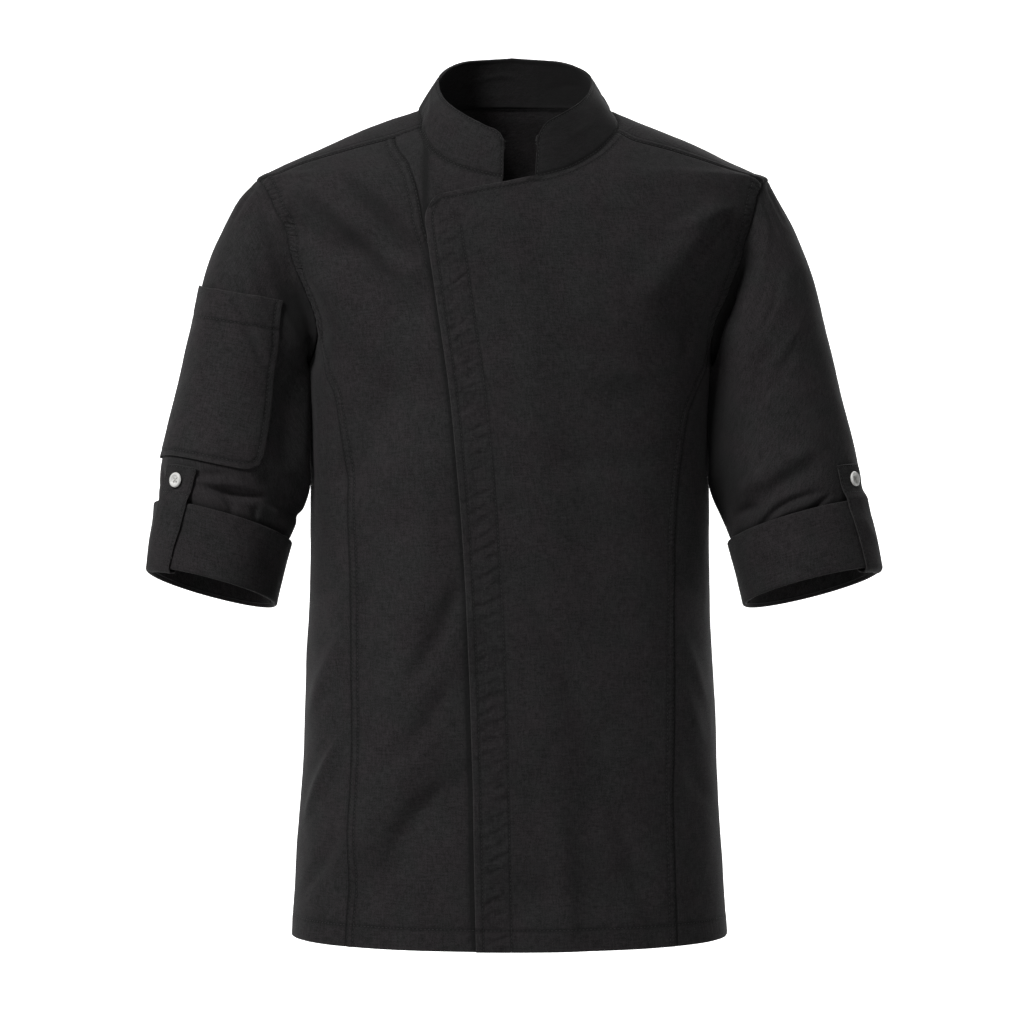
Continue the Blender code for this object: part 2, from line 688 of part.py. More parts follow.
def collar_form(turn, up):
    """The stand collar, by the turn round the neck and the share of its height."""
    turn, up = np.broadcast_arrays(np.asarray(turn, float), np.asarray(up, float))
    place = neck_place(turn)
    base = body(place[..., 0], place[..., 1])
    near_end = np.clip((turn - 300) / (COLLAR_END_LEFT - 300), 0, 1)
    top_turn = turn + COLLAR_TOP_SHIFT_LEFT * near_end**2 * (3 - 2 * near_end)
    angle = np.radians(top_turn)
    across = np.where(np.sin(angle) > 0, COLLAR_HALF_WIDTH["right"], COLLAR_HALF_WIDTH["left"])
    deep = np.where(np.cos(angle) > 0, COLLAR_DEPTH["front"], COLLAR_DEPTH["back"])
    radius = ((np.sin(angle) / across) ** 2 + (np.cos(angle) / deep) ** 2) ** -0.5
    edge_z = COLLAR_EDGE("z", 180 - np.abs(top_turn - 180))
    top = np.stack([-radius * np.sin(angle), -radius * np.cos(angle), edge_z], axis=-1)
    from_right = NECK_RADIUS * np.radians(turn - COLLAR_END_RIGHT)
    from_left = NECK_RADIUS * np.radians(COLLAR_END_LEFT - turn)
    near = COLLAR_CORNER - np.clip(np.minimum(from_right, from_left), 0, COLLAR_CORNER)
    drop = COLLAR_CORNER - np.sqrt(COLLAR_CORNER**2 - near**2)
    rise = top - base
    height = np.linalg.norm(rise, axis=-1)
    share = SEAM_GAP / height + up * (1 - (drop + SEAM_GAP) / height)
    level = rise * (1, 1, 0)
    bow = -level / np.linalg.norm(level, axis=-1, keepdims=True) * COLLAR_BOW
    return base + rise * share[..., None] + bow * np.sin(np.pi * share)[..., None]


def collar(turn, up, raised=0.0):
    smooth = collar_form(turn, up)
    return smooth + outward(collar_form, turn, up) * raised


def build_collar():
    right = neck_front(COLLAR_END_RIGHT, NECK_YOKE_RIGHT)[:, 0]
    left = neck_front(COLLAR_END_LEFT, NECK_YOKE_LEFT)[::-1, 0]
    middle = np.linspace(NECK_YOKE_RIGHT, NECK_YOKE_LEFT, BACK_FACES + 2 * ARMHOLE_YOKE_FACES + 1)
    turn = np.concatenate([right, middle[1:-1], left])[None, :]
    up = np.linspace(0, 1, COLLAR_ROWS + 1)[:, None]
    turn, up = np.broadcast_arrays(turn, up)
    add_cloth("collar", collar(turn, up), collar(turn, up, -COLLAR_WALL))


def arm_ring(side, turn, down):
    """A ring of the arm's form before the folds, and past its end on the same lines."""
    turn, down = np.broadcast_arrays(np.asarray(turn, float), np.asarray(down, float))
    past = np.maximum(down - 1, 0)
    if past.any():
        end = arm_ring(side, turn, np.minimum(down, 1))
        before = arm_ring(side, turn, np.minimum(down, 1) - RING_STEP)
        return end + (end - before) * (past / RING_STEP)[..., None]
    angle = np.radians(turn)
    across = signed_power(np.cos(angle), 2 / SLEEVE_ROUNDNESS)
    deep = signed_power(np.sin(angle), 2 / SLEEVE_ROUNDNESS) * ARM("half_depth", down)
    lean = np.radians(ARM("lean", down))
    outer, inner = ARM(side + "_outer", down), ARM(side + "_inner", down)
    outer_z, inner_z = ARM("outer_z", down), ARM("inner_z", down)
    from_middle = (outer + inner) / 2 + (outer - inner) / 2 * across
    y = ARM("middle_y", down) - deep * np.cos(lean)
    z = (outer_z + inner_z) / 2 + (outer_z - inner_z) / 2 * across + deep * np.sin(lean)
    return np.stack([-from_middle if side == "right" else from_middle, y, z], axis=-1)


def arm_form(side, turn, down):
    """The arm's rings, led at the head of the sleeve into the armhole's true line."""
    turn, down = np.broadcast_arrays(np.asarray(turn, float), np.asarray(down, float))
    ring = arm_ring(side, turn, down)
    place = armhole_place(side, turn, SLEEVE_HEAD_SCALE)
    armhole = torso(place[..., 0], place[..., 1], SLEEVE_HEAD_LIFT)
    part = 1 - np.clip(down / SLEEVE_HEAD_FADE, 0, 1)
    return ring + (armhole - arm_ring(side, turn, 0)) * (part * part * (3 - 2 * part))[..., None]


def arm_relief(side, turn, down):
    """How far the folds move each point of a sleeve outward."""
    height = np.zeros(turn.shape)
    seen = np.stack([np.radians(np.mod(turn, 360)) * ARM_RADIUS, down * ARM_LENGTH], axis=-1)
    for start, end, half_width, stands_out in SLEEVE_FOLDS[side]:
        start = (np.radians(start[0]) * ARM_RADIUS, start[1] * ARM_LENGTH)
        end = (np.radians(end[0]) * ARM_RADIUS, end[1] * ARM_LENGTH)
        height += stands_out * ridge(seen, start, end, half_width)
    return height


def arm_normal(side, turn, down):
    normal = outward(lambda first, second: arm_form(side, first, second), turn, down)
    return normal if side == "right" else -normal


def sleeve(side, turn, down, raised=0.0):
    """Points of the folded sleeve, moved out from it by `raised`."""
    turn, down = np.broadcast_arrays(np.asarray(turn, float), np.asarray(down, float))
    out = arm_relief(side, turn, down) + raised
    return arm_form(side, turn, down) + arm_normal(side, turn, down) * out[..., None]


def arm_turns(side):
    """The turns of a sleeve's columns, the same as those of the panels round the armhole."""
    princess = ARMHOLE_PRINCESS[side]
    yoke = ARMHOLE_YOKE_FRONT[side]
    front = np.linspace(yoke, princess, ARMHOLE_FRONT_FACES + 1)
    under = np.linspace(princess, 180, ARMHOLE_SIDE_FACES + 1)
    behind = np.linspace(180, ARMHOLE_YOKE_BACK, ARMHOLE_BACK_FACES + 1)
    over = np.linspace(ARMHOLE_YOKE_BACK, 360 + yoke, ARMHOLE_YOKE_FACES + 1)
    return np.concatenate([front, under[1:], behind[1:], over[1:]])


def build_sleeve(side):
    rows = [np.linspace(start, end, faces + 1)[1:] for start, end, faces in SLEEVE_ROWS]
    down = np.concatenate([[0.0], *rows])
    turn, down = np.meshgrid(arm_turns(side), down)
    add_cloth("sleeve_" + side, sleeve(side, turn, down), sleeve(side, turn, down, -CLOTH), tube=True)


def half_round(middle, radius, start, end, faces):
    """Places on an arc, each a distance down the sleeve and a distance out from it."""
    angle = np.radians(np.linspace(start, end, faces + 1))
    return np.column_stack([middle[0] + radius * np.sin(angle), middle[1] + radius * np.cos(angle)])


def build_cuff(side):
    """The rolled end of the sleeve, a thick band that is round at its top and bottom folds."""
    half = CUFF_WALL / 2
    out = CUFF_CLEARANCE + half
    top = half_round((CUFF_TOP * ARM_LENGTH + half, out), half, -180, 0, CUFF_ROUND_FACES)
    foot = half_round((ARM_LENGTH - half, out), half, 0, 180, CUFF_ROUND_FACES)
    middle = (top[-1] + foot[0]) / 2
    inside = middle - (0, CUFF_WALL)
    loop = np.vstack([top, middle, foot, inside, top[:1]])
    turn, down = np.meshgrid(arm_turns(side), loop[:, 0] / ARM_LENGTH)
    raised = np.broadcast_to(loop[:, 1:], turn.shape)
    points = sleeve(side, turn, down, raised)
    mesh = bmesh.new()
    rows, columns = len(loop) - 1, turn.shape[1] - 1
    bmesh.ops.create_grid(mesh, x_segments=columns, y_segments=rows, size=0.5)
    for vert in mesh.verts:
        vert.co = points[round((vert.co.y + 0.5) * rows), round((vert.co.x + 0.5) * columns)]
    bmesh.ops.remove_doubles(mesh, verts=mesh.verts[:], dist=MERGE)
    bmesh.ops.recalc_face_normals(mesh, faces=mesh.faces[:])
    add_object("cuff_" + side, mesh)


def tab_route():
    """The tab's outer face, from its buttoned end over the cuff and round under its foot."""
    over_sleeve = TAB_CLEARANCE + TAB_WALL
    over_cuff = CUFF_CLEARANCE + CUFF_WALL + over_sleeve
    inside = -(CLOTH + TAB_INNER_CLEARANCE + TAB_WALL)
    cuff_top = CUFF_TOP * ARM_LENGTH
    radius = (over_cuff - inside) / 2
    middle = (ARM_LENGTH - TAB_FOOT_RISE, (over_cuff + inside) / 2)
    foot = half_round(middle, radius, 0, 180, TAB_ROUND_FACES)
    climbed = cuff_top - 0.001
    rise = [
        (TAB_TOP * ARM_LENGTH, over_sleeve),
        ((TAB_TOP * ARM_LENGTH + cuff_top) / 2, over_sleeve),
        (climbed - TAB_CLIMB, over_sleeve + TAB_EASE),
        (climbed - TAB_CLIMB / 2, (over_sleeve + over_cuff) / 2 + TAB_EASE),
        (climbed, over_cuff),
        ((cuff_top + ARM_LENGTH) / 2, over_cuff),
    ]
    return np.vstack([rise, foot, [(TAB_INNER_END * ARM_LENGTH, inside)]])


def build_tab(side):
    route = tab_route()
    run = np.gradient(route, axis=0)
    run /= np.linalg.norm(run, axis=1, keepdims=True)
    under = route + np.column_stack([run[:, 1], -run[:, 0]]) * TAB_WALL
    first, last = TAB_TURNS[side]
    share = np.clip((route[:, 0] / ARM_LENGTH - TAB_TOP) / (1 - TAB_TOP), 0, 1)
    middle = first + (last - first) * share
    half = np.degrees(TAB_WIDTH / 2 / ARM_RADIUS)
    turn = middle[:, None] + np.linspace(-half, half, TAB_FACES + 1)[None, :]
    faces = [
        sleeve(side, turn, line[:, :1] / ARM_LENGTH, np.broadcast_to(line[:, 1:], turn.shape))
        for line in (route, under)
    ]
    add_cloth("tab_" + side, *faces)


def build_button(side):
    """A turned button with a rim, on the tab's upper end."""
    rim, top = BUTTON_RADIUS, BUTTON_HEIGHT
    profile = [
        (0.0, 0.70 * top),
        (0.52 * rim, 0.70 * top),
        (0.66 * rim, 0.98 * top),
        (0.84 * rim, top),
        (0.97 * rim, 0.78 * top),
        (rim, 0.45 * top),
        (0.86 * rim, 0.08 * top),
        (0.60 * rim, 0.0),
        (0.0, 0.0),
    ]
    mesh = bmesh.new()
    points = [mesh.verts.new((x, 0, z)) for x, z in profile]
    for first, second in zip(points, points[1:]):
        mesh.edges.new((first, second))
    button = add_object("button_" + side, mesh, BUTTON_COLOUR, 0.35)
    turned = button.modifiers.new("turned", "SCREW")
    turned.steps = 20
    turned.render_steps = 20
    turned.use_merge_vertices = True
    turned.merge_threshold = MERGE
    first, last = TAB_TURNS[side]
    share = (BUTTON_DOWN - TAB_TOP) / (1 - TAB_TOP)
    turn = np.array([first + (last - first) * share])
    down = np.array([BUTTON_DOWN])
    raised = TAB_CLEARANCE + TAB_WALL + BUTTON_CLEARANCE
    normal = Vector(arm_normal(side, turn, down)[0])
    button.location = sleeve(side, turn, down, raised)[0]
    button.rotation_mode = "QUATERNION"
    button.rotation_quaternion = normal.to_track_quat("Z", "Y")


def build_pocket():
    """The patch pocket, wrapped round the outer side of the right sleeve."""
    places = patch(
        curve_through(POCKET_FOOT, POCKET_FACES),
        curve_through(POCKET_TOP, POCKET_FACES),
        curve_through(POCKET_BACK, POCKET_ROWS),
        curve_through(POCKET_FRONT, POCKET_ROWS),
    )
    turn, down = places[..., 0], places[..., 1]
    outer = sleeve("right", turn, down, POCKET_CLEARANCE + CLOTH)
    add_cloth("sleeve_pocket", outer, sleeve("right", turn, down, POCKET_CLEARANCE))


def main():
    for old in list(bpy.data.objects):
        bpy.data.objects.remove(old, do_unlink=True)
    jacket = bpy.data.collections.new("chef_jacket")
    bpy.context.scene.collection.children.link(jacket)
    build_fronts()
    build_back()
    build_yoke()
    build_collar()
    for side in ("right", "left"):
        build_sleeve(side)
        build_cuff(side)
        build_tab(side)
        build_button(side)
    build_pocket()


main()
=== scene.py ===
# %% [markdown]
# # A chef jacket, cut and sewn in Blender
#
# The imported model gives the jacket's true solids: seventeen pieces that stand as if worn. Their
# walls are plain, because a solid for collision needs no thread. This lesson lays finer cloth on the
# same forms, with creases, seams, stitches and a twill finish, and keeps every piece in its place.

import bmesh
import bpy
import numpy as np
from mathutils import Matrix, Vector


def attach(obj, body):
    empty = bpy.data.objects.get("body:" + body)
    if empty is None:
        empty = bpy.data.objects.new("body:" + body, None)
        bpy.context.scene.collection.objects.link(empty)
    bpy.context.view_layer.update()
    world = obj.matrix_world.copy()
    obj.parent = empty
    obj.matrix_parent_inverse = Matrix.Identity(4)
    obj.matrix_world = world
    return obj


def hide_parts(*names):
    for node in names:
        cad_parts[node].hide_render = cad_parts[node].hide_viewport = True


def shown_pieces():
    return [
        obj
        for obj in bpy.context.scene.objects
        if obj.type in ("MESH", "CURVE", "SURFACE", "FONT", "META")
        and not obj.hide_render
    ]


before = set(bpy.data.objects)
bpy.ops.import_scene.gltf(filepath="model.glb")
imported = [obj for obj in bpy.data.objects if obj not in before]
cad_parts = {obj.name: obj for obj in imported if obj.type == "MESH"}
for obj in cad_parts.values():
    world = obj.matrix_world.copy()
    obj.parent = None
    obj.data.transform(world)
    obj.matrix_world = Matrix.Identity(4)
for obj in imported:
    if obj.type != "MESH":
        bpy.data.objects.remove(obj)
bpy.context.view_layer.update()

# %% [markdown]
# ## The form under the cloth
#
# A garment that is worn takes the form of what it lies on. A maker's stand is a stack of rings, so
# the torso here is one too: a table gives the half widths and depths of each level ring, and a
# smooth curve joins its rows. A place on the torso is a turn round it, from centre front towards the
# wearer's right, and a height. The numbers are those of the solids, so that cloth and solid agree.

# %% A table whose rows are joined by smooth curves
MM = 0.001
BOTH = ("right", "left")


def rows(text, scale=MM):
    """Numbers from text. Rows end with a semicolon, and the columns have one scale or one each."""
    return np.array([row.split() for row in text.split(";")], float) * scale


class Table:
    """Named columns of numbers, read between their rows as smooth curves."""

    def __init__(self, columns, table):
        self.columns, self.rows = columns.split(), table

    def __call__(self, column, where):
        keys = self.rows[:, 0]
        values = self.rows[:, self.columns.index(column)]
        steps = np.diff(values) / np.diff(keys)
        both = steps[:-1] * steps[1:]
        total = np.where(both > 0, steps[:-1] + steps[1:], 1)
        slopes = np.concatenate([steps[:1], np.where(both > 0, 2 * both / total, 0), steps[-1:]])
        where = np.clip(where, keys[0], keys[-1])
        row = np.clip(np.searchsorted(keys, where, side="right") - 1, 0, len(keys) - 2)
        width = keys[row + 1] - keys[row]
        part = (where - keys[row]) / width
        start = (1 + 2 * part) * (1 - part) ** 2 * values[row]
        end = part**2 * (3 - 2 * part) * values[row + 1]
        leave = part * (1 - part) ** 2 * width * slopes[row]
        arrive = part**2 * (part - 1) * width * slopes[row + 1]
        return start + end + leave + arrive


# %% The torso's rings, in millimetres
BODY = Table("z right left front back roundness", rows("""
-740 198 193.5 130 124 2.2; -657 192.6 188 129 120 2.2; -585 188 183.6 128 115 2.2;
-495 184.5 180 127 110 2.2; -441 182 178 127 108 2.2; -333 181 177 127 112 2.2;
-235 183 179.5 124 120 2.2; -200 191 190 122 122 2.2; -165 208 212 118 121 2.2; -136 221 225 113 118 2.2;
-100 229 231 105 113 2.1; -75 231.5 232.5 96 108 2; -64 230 231 89 105 2; -57.5 219.5 217.5 83 103 2;
-46.5 196.5 193.5 74 100 2; -34 167.5 168 62 95 2; -21 138.5 137 48 90 2; -10 111 109 34 85 2;
0 85 89 20 80 2; 12 78 82 12 75 2; 20 74 78 6 71 2
""", [MM] * 5 + [1]))
SIDE_TURN = {"right": 90.0, "left": 270.0}
HEM_Z = -0.740
TURN_STEP, LINE_STEP = 0.05, 0.0004


def side_of(turn):
    return np.mod(turn, 360) < 180


def from_front(angle, radius, z):
    """Points at a radius and an angle from centre front."""
    return np.stack([-radius * np.sin(angle), -radius * np.cos(angle), z], axis=-1)


def body(turn, z):
    """The smooth torso, with no folds, as points in rows of x, y and z."""
    turn, z = np.broadcast_arrays(np.asarray(turn, float), np.asarray(z, float))
    angle = np.radians(turn)
    across = np.where(side_of(turn), BODY("right", z), BODY("left", z))
    deep = np.where(np.cos(angle) > 0, BODY("front", z), BODY("back", z))
    power = BODY("roundness", z)
    outline = np.abs(np.sin(angle) / across) ** power + np.abs(np.cos(angle) / deep) ** power
    return from_front(angle, outline ** (-1 / power), z)


def outward(surface, first, second):
    """The unit normals of a surface of two coordinates, by small steps along each."""
    step_first = surface(first + TURN_STEP, second) - surface(first - TURN_STEP, second)
    step_second = surface(first, second + LINE_STEP) - surface(first, second - LINE_STEP)
    normal = np.cross(step_second, step_first)
    return normal / np.linalg.norm(normal, axis=-1, keepdims=True)


print("torso rings:", len(BODY.rows), "and the hem at", HEM_Z, "m")

# %% [markdown]
# ## Where the seams run
#
# A pattern cutter marks seam lines before cutting. Each seam here is a smooth line through a few
# places of the torso, and a piece of cloth is stretched between the four lines round it. The lines
# are cut much finer than in the solids, because creases and stitches need short steps.

# %% Neckline and armholes
NECK = Table("turn right left", rows("""
0 -71.5 -71.5; 15 -66.5 -68.5; 30 -59 -61.5; 45 -45 -48.5; 60 -26 -32; 75 -9 -15; 90 0 0; 120 6 6;
150 10.5 10.5; 180 12 12
""", [1, MM, MM]))
ARMHOLE = Table("turn right_front left_front back", rows("""
0 0 0 0; 14 4.7 4.7 6; 36 9.1 8.6 10.5; 50 11.7 10.4 13; 65 14.9 12.4 16; 82 16.8 14 18;
102 18.6 15.6 19.5; 116 19.2 15.6 20; 129 18.6 14.6 19.5; 143 15.6 12 16; 160 9 7.5 9; 180 0 0 0
""", 1))
ARMHOLE_TOP_Z, UNDERARM_Z = -0.064, -0.232
ARMHOLE_YOKE_FRONT = {"right": 14.0, "left": 22.0}
ARMHOLE_YOKE_BACK = 312.0
ARMHOLE_PRINCESS = {"right": 129.0, "left": 134.0}
COLLAR_END = {"right": 4.5, "left": 347.8}
NECK_YOKE = {"right": 64.5, "left": 293.0}
NECK_EASE, ROW_EASE, INSET_HOLD = 1.7, 1.5, 3.0
METRES_PER_DEGREE = 0.0025
FINER = 14


def place_in_front(x, z):
    """The turn at which the torso's front has a given x, with the height."""
    x, z = np.asarray(x, float), np.asarray(z, float)
    across = np.where(x < 0, BODY("right", z), BODY("left", z))
    power = BODY("roundness", z)
    depth = BODY("front", z) * (1 - np.abs(x / across) ** power) ** (1 / power)
    return np.stack([np.degrees(np.arctan2(-x, depth)), z], axis=-1)


def neck_place(turn):
    """The neckline's place at a turn."""
    turn = np.asarray(turn, float)
    around = 180 - np.abs(np.mod(turn, 360) - 180)
    z = np.where(side_of(turn), NECK("right", around), NECK("left", around))
    return np.stack([turn, z], axis=-1)


def armhole_place(side, turn, scale=1.0):
    """The armhole's place at a turn from the shoulder tip. A scale under 1 is inside the edge."""
    turn = np.asarray(turn, float)
    from_top = 180 - np.abs(np.mod(turn, 360) - 180)
    middle = (ARMHOLE_TOP_Z + UNDERARM_Z) / 2
    half = (ARMHOLE_TOP_Z - UNDERARM_Z) / 2
    z = middle + half * np.cos(np.radians(turn)) * scale
    round_front = ARMHOLE(side + "_front", from_top)
    aside = np.where(side_of(turn), round_front, -ARMHOLE("back", from_top)) * scale
    return np.stack([SIDE_TURN[side] + (-aside if side == "right" else aside), z], axis=-1)


# %% Lines through places, and lines that follow each other
def shares(faces):
    return np.linspace(0, 1, faces * FINER + 1)


def curve_through(places, faces, ease=1.0):
    """A smooth line through places, cut into faces. An ease over 1 shortens those near its end."""
    places = np.array(places, float)
    scale = np.array([METRES_PER_DEGREE, 1.0])
    run = np.concatenate([[0], np.cumsum(np.linalg.norm(np.diff(places, axis=0) * scale, axis=1))])
    line = Table("along turn z", np.column_stack([run, places]))
    along = run[-1] * (1 - np.linspace(1, 0, faces * FINER + 1) ** ease)
    return np.column_stack([line("turn", along), line("z", along)])


def in_step(line):
    """The same line with no jump of a whole turn in it."""
    return np.column_stack([np.unwrap(line[:, 0], period=360), line[:, 1]])


def front_curve(points, faces, end=None, ease=1.0):
    """A seam line of the fronts through points seen from the front, up to a given place."""
    places = [place_in_front(x, z) for x, z in points]
    if end is not None:
        places.append(end)
    return curve_through(in_step(np.array(places)), faces, ease)


def join(*lines):
    """One line from several that follow each other."""
    return in_step(np.concatenate([lines[0]] + [line[1:] for line in lines[1:]]))


def neck_front(side):
    """The neckline from a collar end back to the yoke, with shorter faces near the end."""
    end, yoke = COLLAR_END[side], NECK_YOKE[side]
    return neck_place(end + (yoke - end) * shares(8) ** NECK_EASE)


def armhole_line(side, start, end, faces):
    return armhole_place(side, start + (end - start) * shares(faces))


def straight(start, end, faces):
    ends = in_step(np.array([start, end], float))
    part = shares(faces)[:, None]
    return (1 - part) * ends[0] + part * ends[1]


def level(start_turn, end_turn, height, faces):
    """A line that stays at one height, from one turn to another."""
    turns = start_turn + (end_turn - start_turn) * shares(faces)
    return np.column_stack([turns, np.full(len(turns), float(height))])


def beside(line, place):
    """The same line, moved by whole turns so that it starts at this place."""
    return line + (360 * np.round((place[0] - line[0, 0]) / 360), 0)


# %% The seam lines of the fronts, from their lower end up, as seen from the front, in millimetres
PRINCESS = {
    "right": rows("""
-145 -740; -140.5 -600; -140.5 -480; -143 -380; -148.5 -320; -155 -262; -165 -237
"""),
    "left": rows("""
144.3 -740; 142.4 -681; 139.7 -577; 139 -473; 141.8 -404; 146.2 -334; 154.8 -278; 163.5 -255; 173.5 -229
"""),
}
PLACKET_EDGE = rows("""
-30.6 -740; -34.5 -560; -41.3 -400; -51.2 -280; -67.7 -160; -73.5 -122; -74.8 -105
""")
WING_EDGE = rows("-69.5 -92; -63.3 -87; -48.4 -83.8; -19 -78; -7.8 -76.2")
UNDER_SEAM = rows("""
-24.5 -740; -28.5 -560; -36 -400; -46 -280; -62.5 -160; -77 -111; -80.5 -91; -87 -67
""")
UNDERLAP_EDGE = rows("28 -740; 14 -400; -4 -200; -12 -95")
SHOULDER_SEAMS = {
    "right": rows("-106 -30; -132.8 -37; -160 -44.7; -187.5 -52.6; -208.3 -60.6"),
    "left": rows("103.7 -30.9; 137.5 -40.5; 164.9 -48.7; 192.2 -56.9; 211 -61.8"),
}
WING_FACES, SHOULDER_FACES, INSET_YOKE_FACES = 4, 12, 2
PRINCESS_FACES, FRONT_FACES, UNDER_FACES = 15, 7, 5
BACK_FACES, YOKE_FACES = 14, 4


def shoulder_seam(side):
    """The forward shoulder seam, from the neckline out to the armhole."""
    places = np.array([place_in_front(x, z) for x, z in SHOULDER_SEAMS[side]])
    places[:, 0] = np.mod(places[:, 0], 360)
    tip = armhole_place(side, ARMHOLE_YOKE_FRONT[side])
    return curve_through([neck_place(NECK_YOKE[side]), *places, tip], SHOULDER_FACES)


# %% [markdown]
# ## Folds and creases
#
# Worn twill keeps soft folds where the arm pulls at the chest and where the hem swings. They could
# come from a cloth simulation, but the real ones are known, so each is listed: a line, a half width
# and a height, fading out at both ends. A low ripple under them keeps long stretches of cloth
# from looking ironed.

# %% The large folds, which the solids have too: start and end, then half width and height
FOLDS = {
    "front": rows("""
-190 -85 -85 -150 12 3; -190 -110 -90 -190 14 -2.8; -150 -130 -85 -135 12 -2; -105 -260 -140 -330 20 -3.2;
-75 -330 -95 -520 26 3.2; -60 -480 -120 -640 26 3; -45 -600 -125 -690 20 -3; 200 -125 150 -200 14 -2.6;
175 -100 120 -170 14 2.4; 20 -690 85 -690 22 -2.6; 110 -420 150 -560 26 2.6; 80 -560 60 -660 26 -2.2
"""),
    "back": rows("""
-130 -160 -60 -240 18 -2.8; 135 -150 70 -240 18 -2.8; -100 -330 10 -400 22 3; 105 -350 30 -430 22 3;
-110 -470 -80 -660 28 -3.2; 90 -480 105 -680 28 -3.2; 0 -520 10 -700 32 3.4
"""),
}

# %% The smaller creases: start, bend and end, then half width and height
CREASES = {
    "front": rows("""
-200 -78 -150 -105 -92 -172 7 -1.5; -196 -70 -158 -86 -112 -118 6 1; -146 -68 -110 -100 -78 -138 7 -1.4;
-185 -150 -150 -178 -120 -232 8 1.4; -65 -57 -52 -66 -37 -78 2.6 -1; -60 -50 -50 -58 -36 -66 2.4 .6;
-70 -52 -68 -56 -66 -60 2.6 -1; -43 -415 -60 -475 -90 -511 10 -2; -58 -597 -85 -620 -110 -660 9 -1.6;
-50 -505 -75 -560 -118 -588 9 -1.3; -146 -552 -168 -590 -184 -636 5 1.5;
-150 -470 -166 -500 -180 -545 7 1.2; -148 -640 -165 -668 -186 -700 6 -1.1;
190 -100 172 -130 148 -158 7 -1.1; 198 -90 165 -108 130 -120 6 1; 186 -152 160 -190 150 -232 7 -1.2;
148 -470 160 -500 170 -530 6 .7; 150 -515 156 -545 166 -565 7 .6; 146 -560 160 -600 178 -620 8 -1;
10 -300 60 -330 110 -320 14 -1.2; 30 -230 70 -250 125 -240 14 1.2; 20 -440 50 -500 60 -560 14 -1.3;
85 -610 105 -660 125 -730 12 -1.5; 40 -620 48 -670 50 -735 12 1.3; -130 -360 -120 -420 -128 -480 10 -1.3
"""),
    "back": rows("""
-185 -160 -150 -190 -120 -250 9 1.6; -178 -130 -130 -150 -80 -215 8 -1.5;
186 -165 148 -200 128 -262 9 1.6; 176 -126 128 -150 86 -205 8 -1.5; -60 -275 -10 -300 50 -282 14 -1.6;
-140 -300 -80 -335 -30 -330 11 1.4; 150 -320 90 -352 40 -340 11 1.3; -120 -410 -50 -450 5 -438 11 -1.6;
130 -440 70 -470 20 -462 11 -1.4; -150 -500 -140 -600 -150 -720 12 1.6;
-30 -560 -45 -640 -40 -738 12 -1.7; 55 -540 50 -640 58 -735 13 1.5; 150 -520 145 -620 155 -730 12 1.6;
10 -100 -30 -122 -75 -128 8 -.9; 30 -145 10 -190 15 -235 10 1
"""),
}
LINE_PARTS = 10
FOLDS_DEEPER, CREASES_DEEPER, THIN_CREASES_DEEPER, THIN = 1.8, 2.7, 1.8, 5 * MM


def on_line(seen, start, end):
    """How far along a line each place is, as a share of it, and how far away from it."""
    run = end - start
    along = np.clip(((seen - start) @ run) / (run @ run), 0, 1)
    return along, np.linalg.norm(seen - start - along[..., None] * run, axis=-1)


def ridge(seen, fold):
    """A soft trough or ridge along a straight line, for places in rows of two."""
    return fold[5] * np.exp(-((on_line(seen, fold[:2], fold[2:4])[1] / fold[4]) ** 2))


def crease(seen, fold, deeper=1.0):
    """A soft trough or ridge along a bent line, for places in rows of two."""
    share = np.linspace(0, 1, LINE_PARTS + 1)[:, None]
    start, bend, end = fold[:6].reshape(3, 2)
    half_width, height = fold[6:]
    line = (1 - share) ** 2 * start + 2 * share * (1 - share) * bend + share**2 * end
    found = np.zeros(seen.shape[:-1])
    reach = 3 * half_width
    close = ((seen > line.min(axis=0) - reach) & (seen < line.max(axis=0) + reach)).all(axis=-1)
    near = seen[close]
    away, share = np.full(len(near), 1.0), np.zeros(len(near))
    for index in range(LINE_PARTS):
        along, gap = on_line(near, line[index], line[index + 1])
        share = np.where(gap < away, (index + along) / LINE_PARTS, share)
        away = np.minimum(away, gap)
    fade = np.sin(np.pi * np.clip(share, 0.02, 0.98))
    width = half_width * (0.55 + 0.45 * fade)
    found[close] = deeper * height * fade**0.7 * np.exp(-((away / width) ** 2))
    return found


def bell(away, half_width):
    """1 at a line and less beside it."""
    return np.exp(-((away / half_width) ** 2))


def ripple(points, seed, longest, height, waves=12):
    """A low unevenness, from a few waves that cross each other in every direction."""
    random = np.random.default_rng(seed)
    total = np.zeros(points.shape[:-1])
    for _ in range(waves):
        direction = random.normal(size=3)
        direction /= np.linalg.norm(direction)
        length = longest * random.uniform(0.4, 1.0)
        total += np.sin(points @ direction * 2 * np.pi / length + random.uniform(0, 2 * np.pi))
    return total * height / np.sqrt(waves)


ARMHOLE_SINK, ARMHOLE_SINK_REACH = 0.011, 0.016


def smooth_step(value, start, end):
    part = np.clip((value - start) / (end - start), 0, 1)
    return part * part * (3 - 2 * part)


def sink_at_armholes(smooth):
    """How far the cloth beside the front of each armhole is drawn back into the armpit."""
    sunk = np.zeros(smooth.shape[:-1])
    turns = np.linspace(35, 176, 80)
    strength = ARMHOLE_SINK * smooth_step(turns, 45, 105) * smooth_step(-turns, -176, -150)
    for side in BOTH:
        place = armhole_place(side, turns)
        line = body(place[:, 0], place[:, 1])
        aside = smooth[..., None, 0] - line[:, 0]
        above = smooth[..., None, 2] - line[:, 2]
        away = np.hypot(aside, above)
        near = away.argmin(axis=-1)
        gap = np.take_along_axis(away, near[..., None], axis=-1)[..., 0]
        sunk += strength[near] * smooth_step(-gap, -ARMHOLE_SINK_REACH, 0)
    return sunk * (smooth[..., 1] < 0)


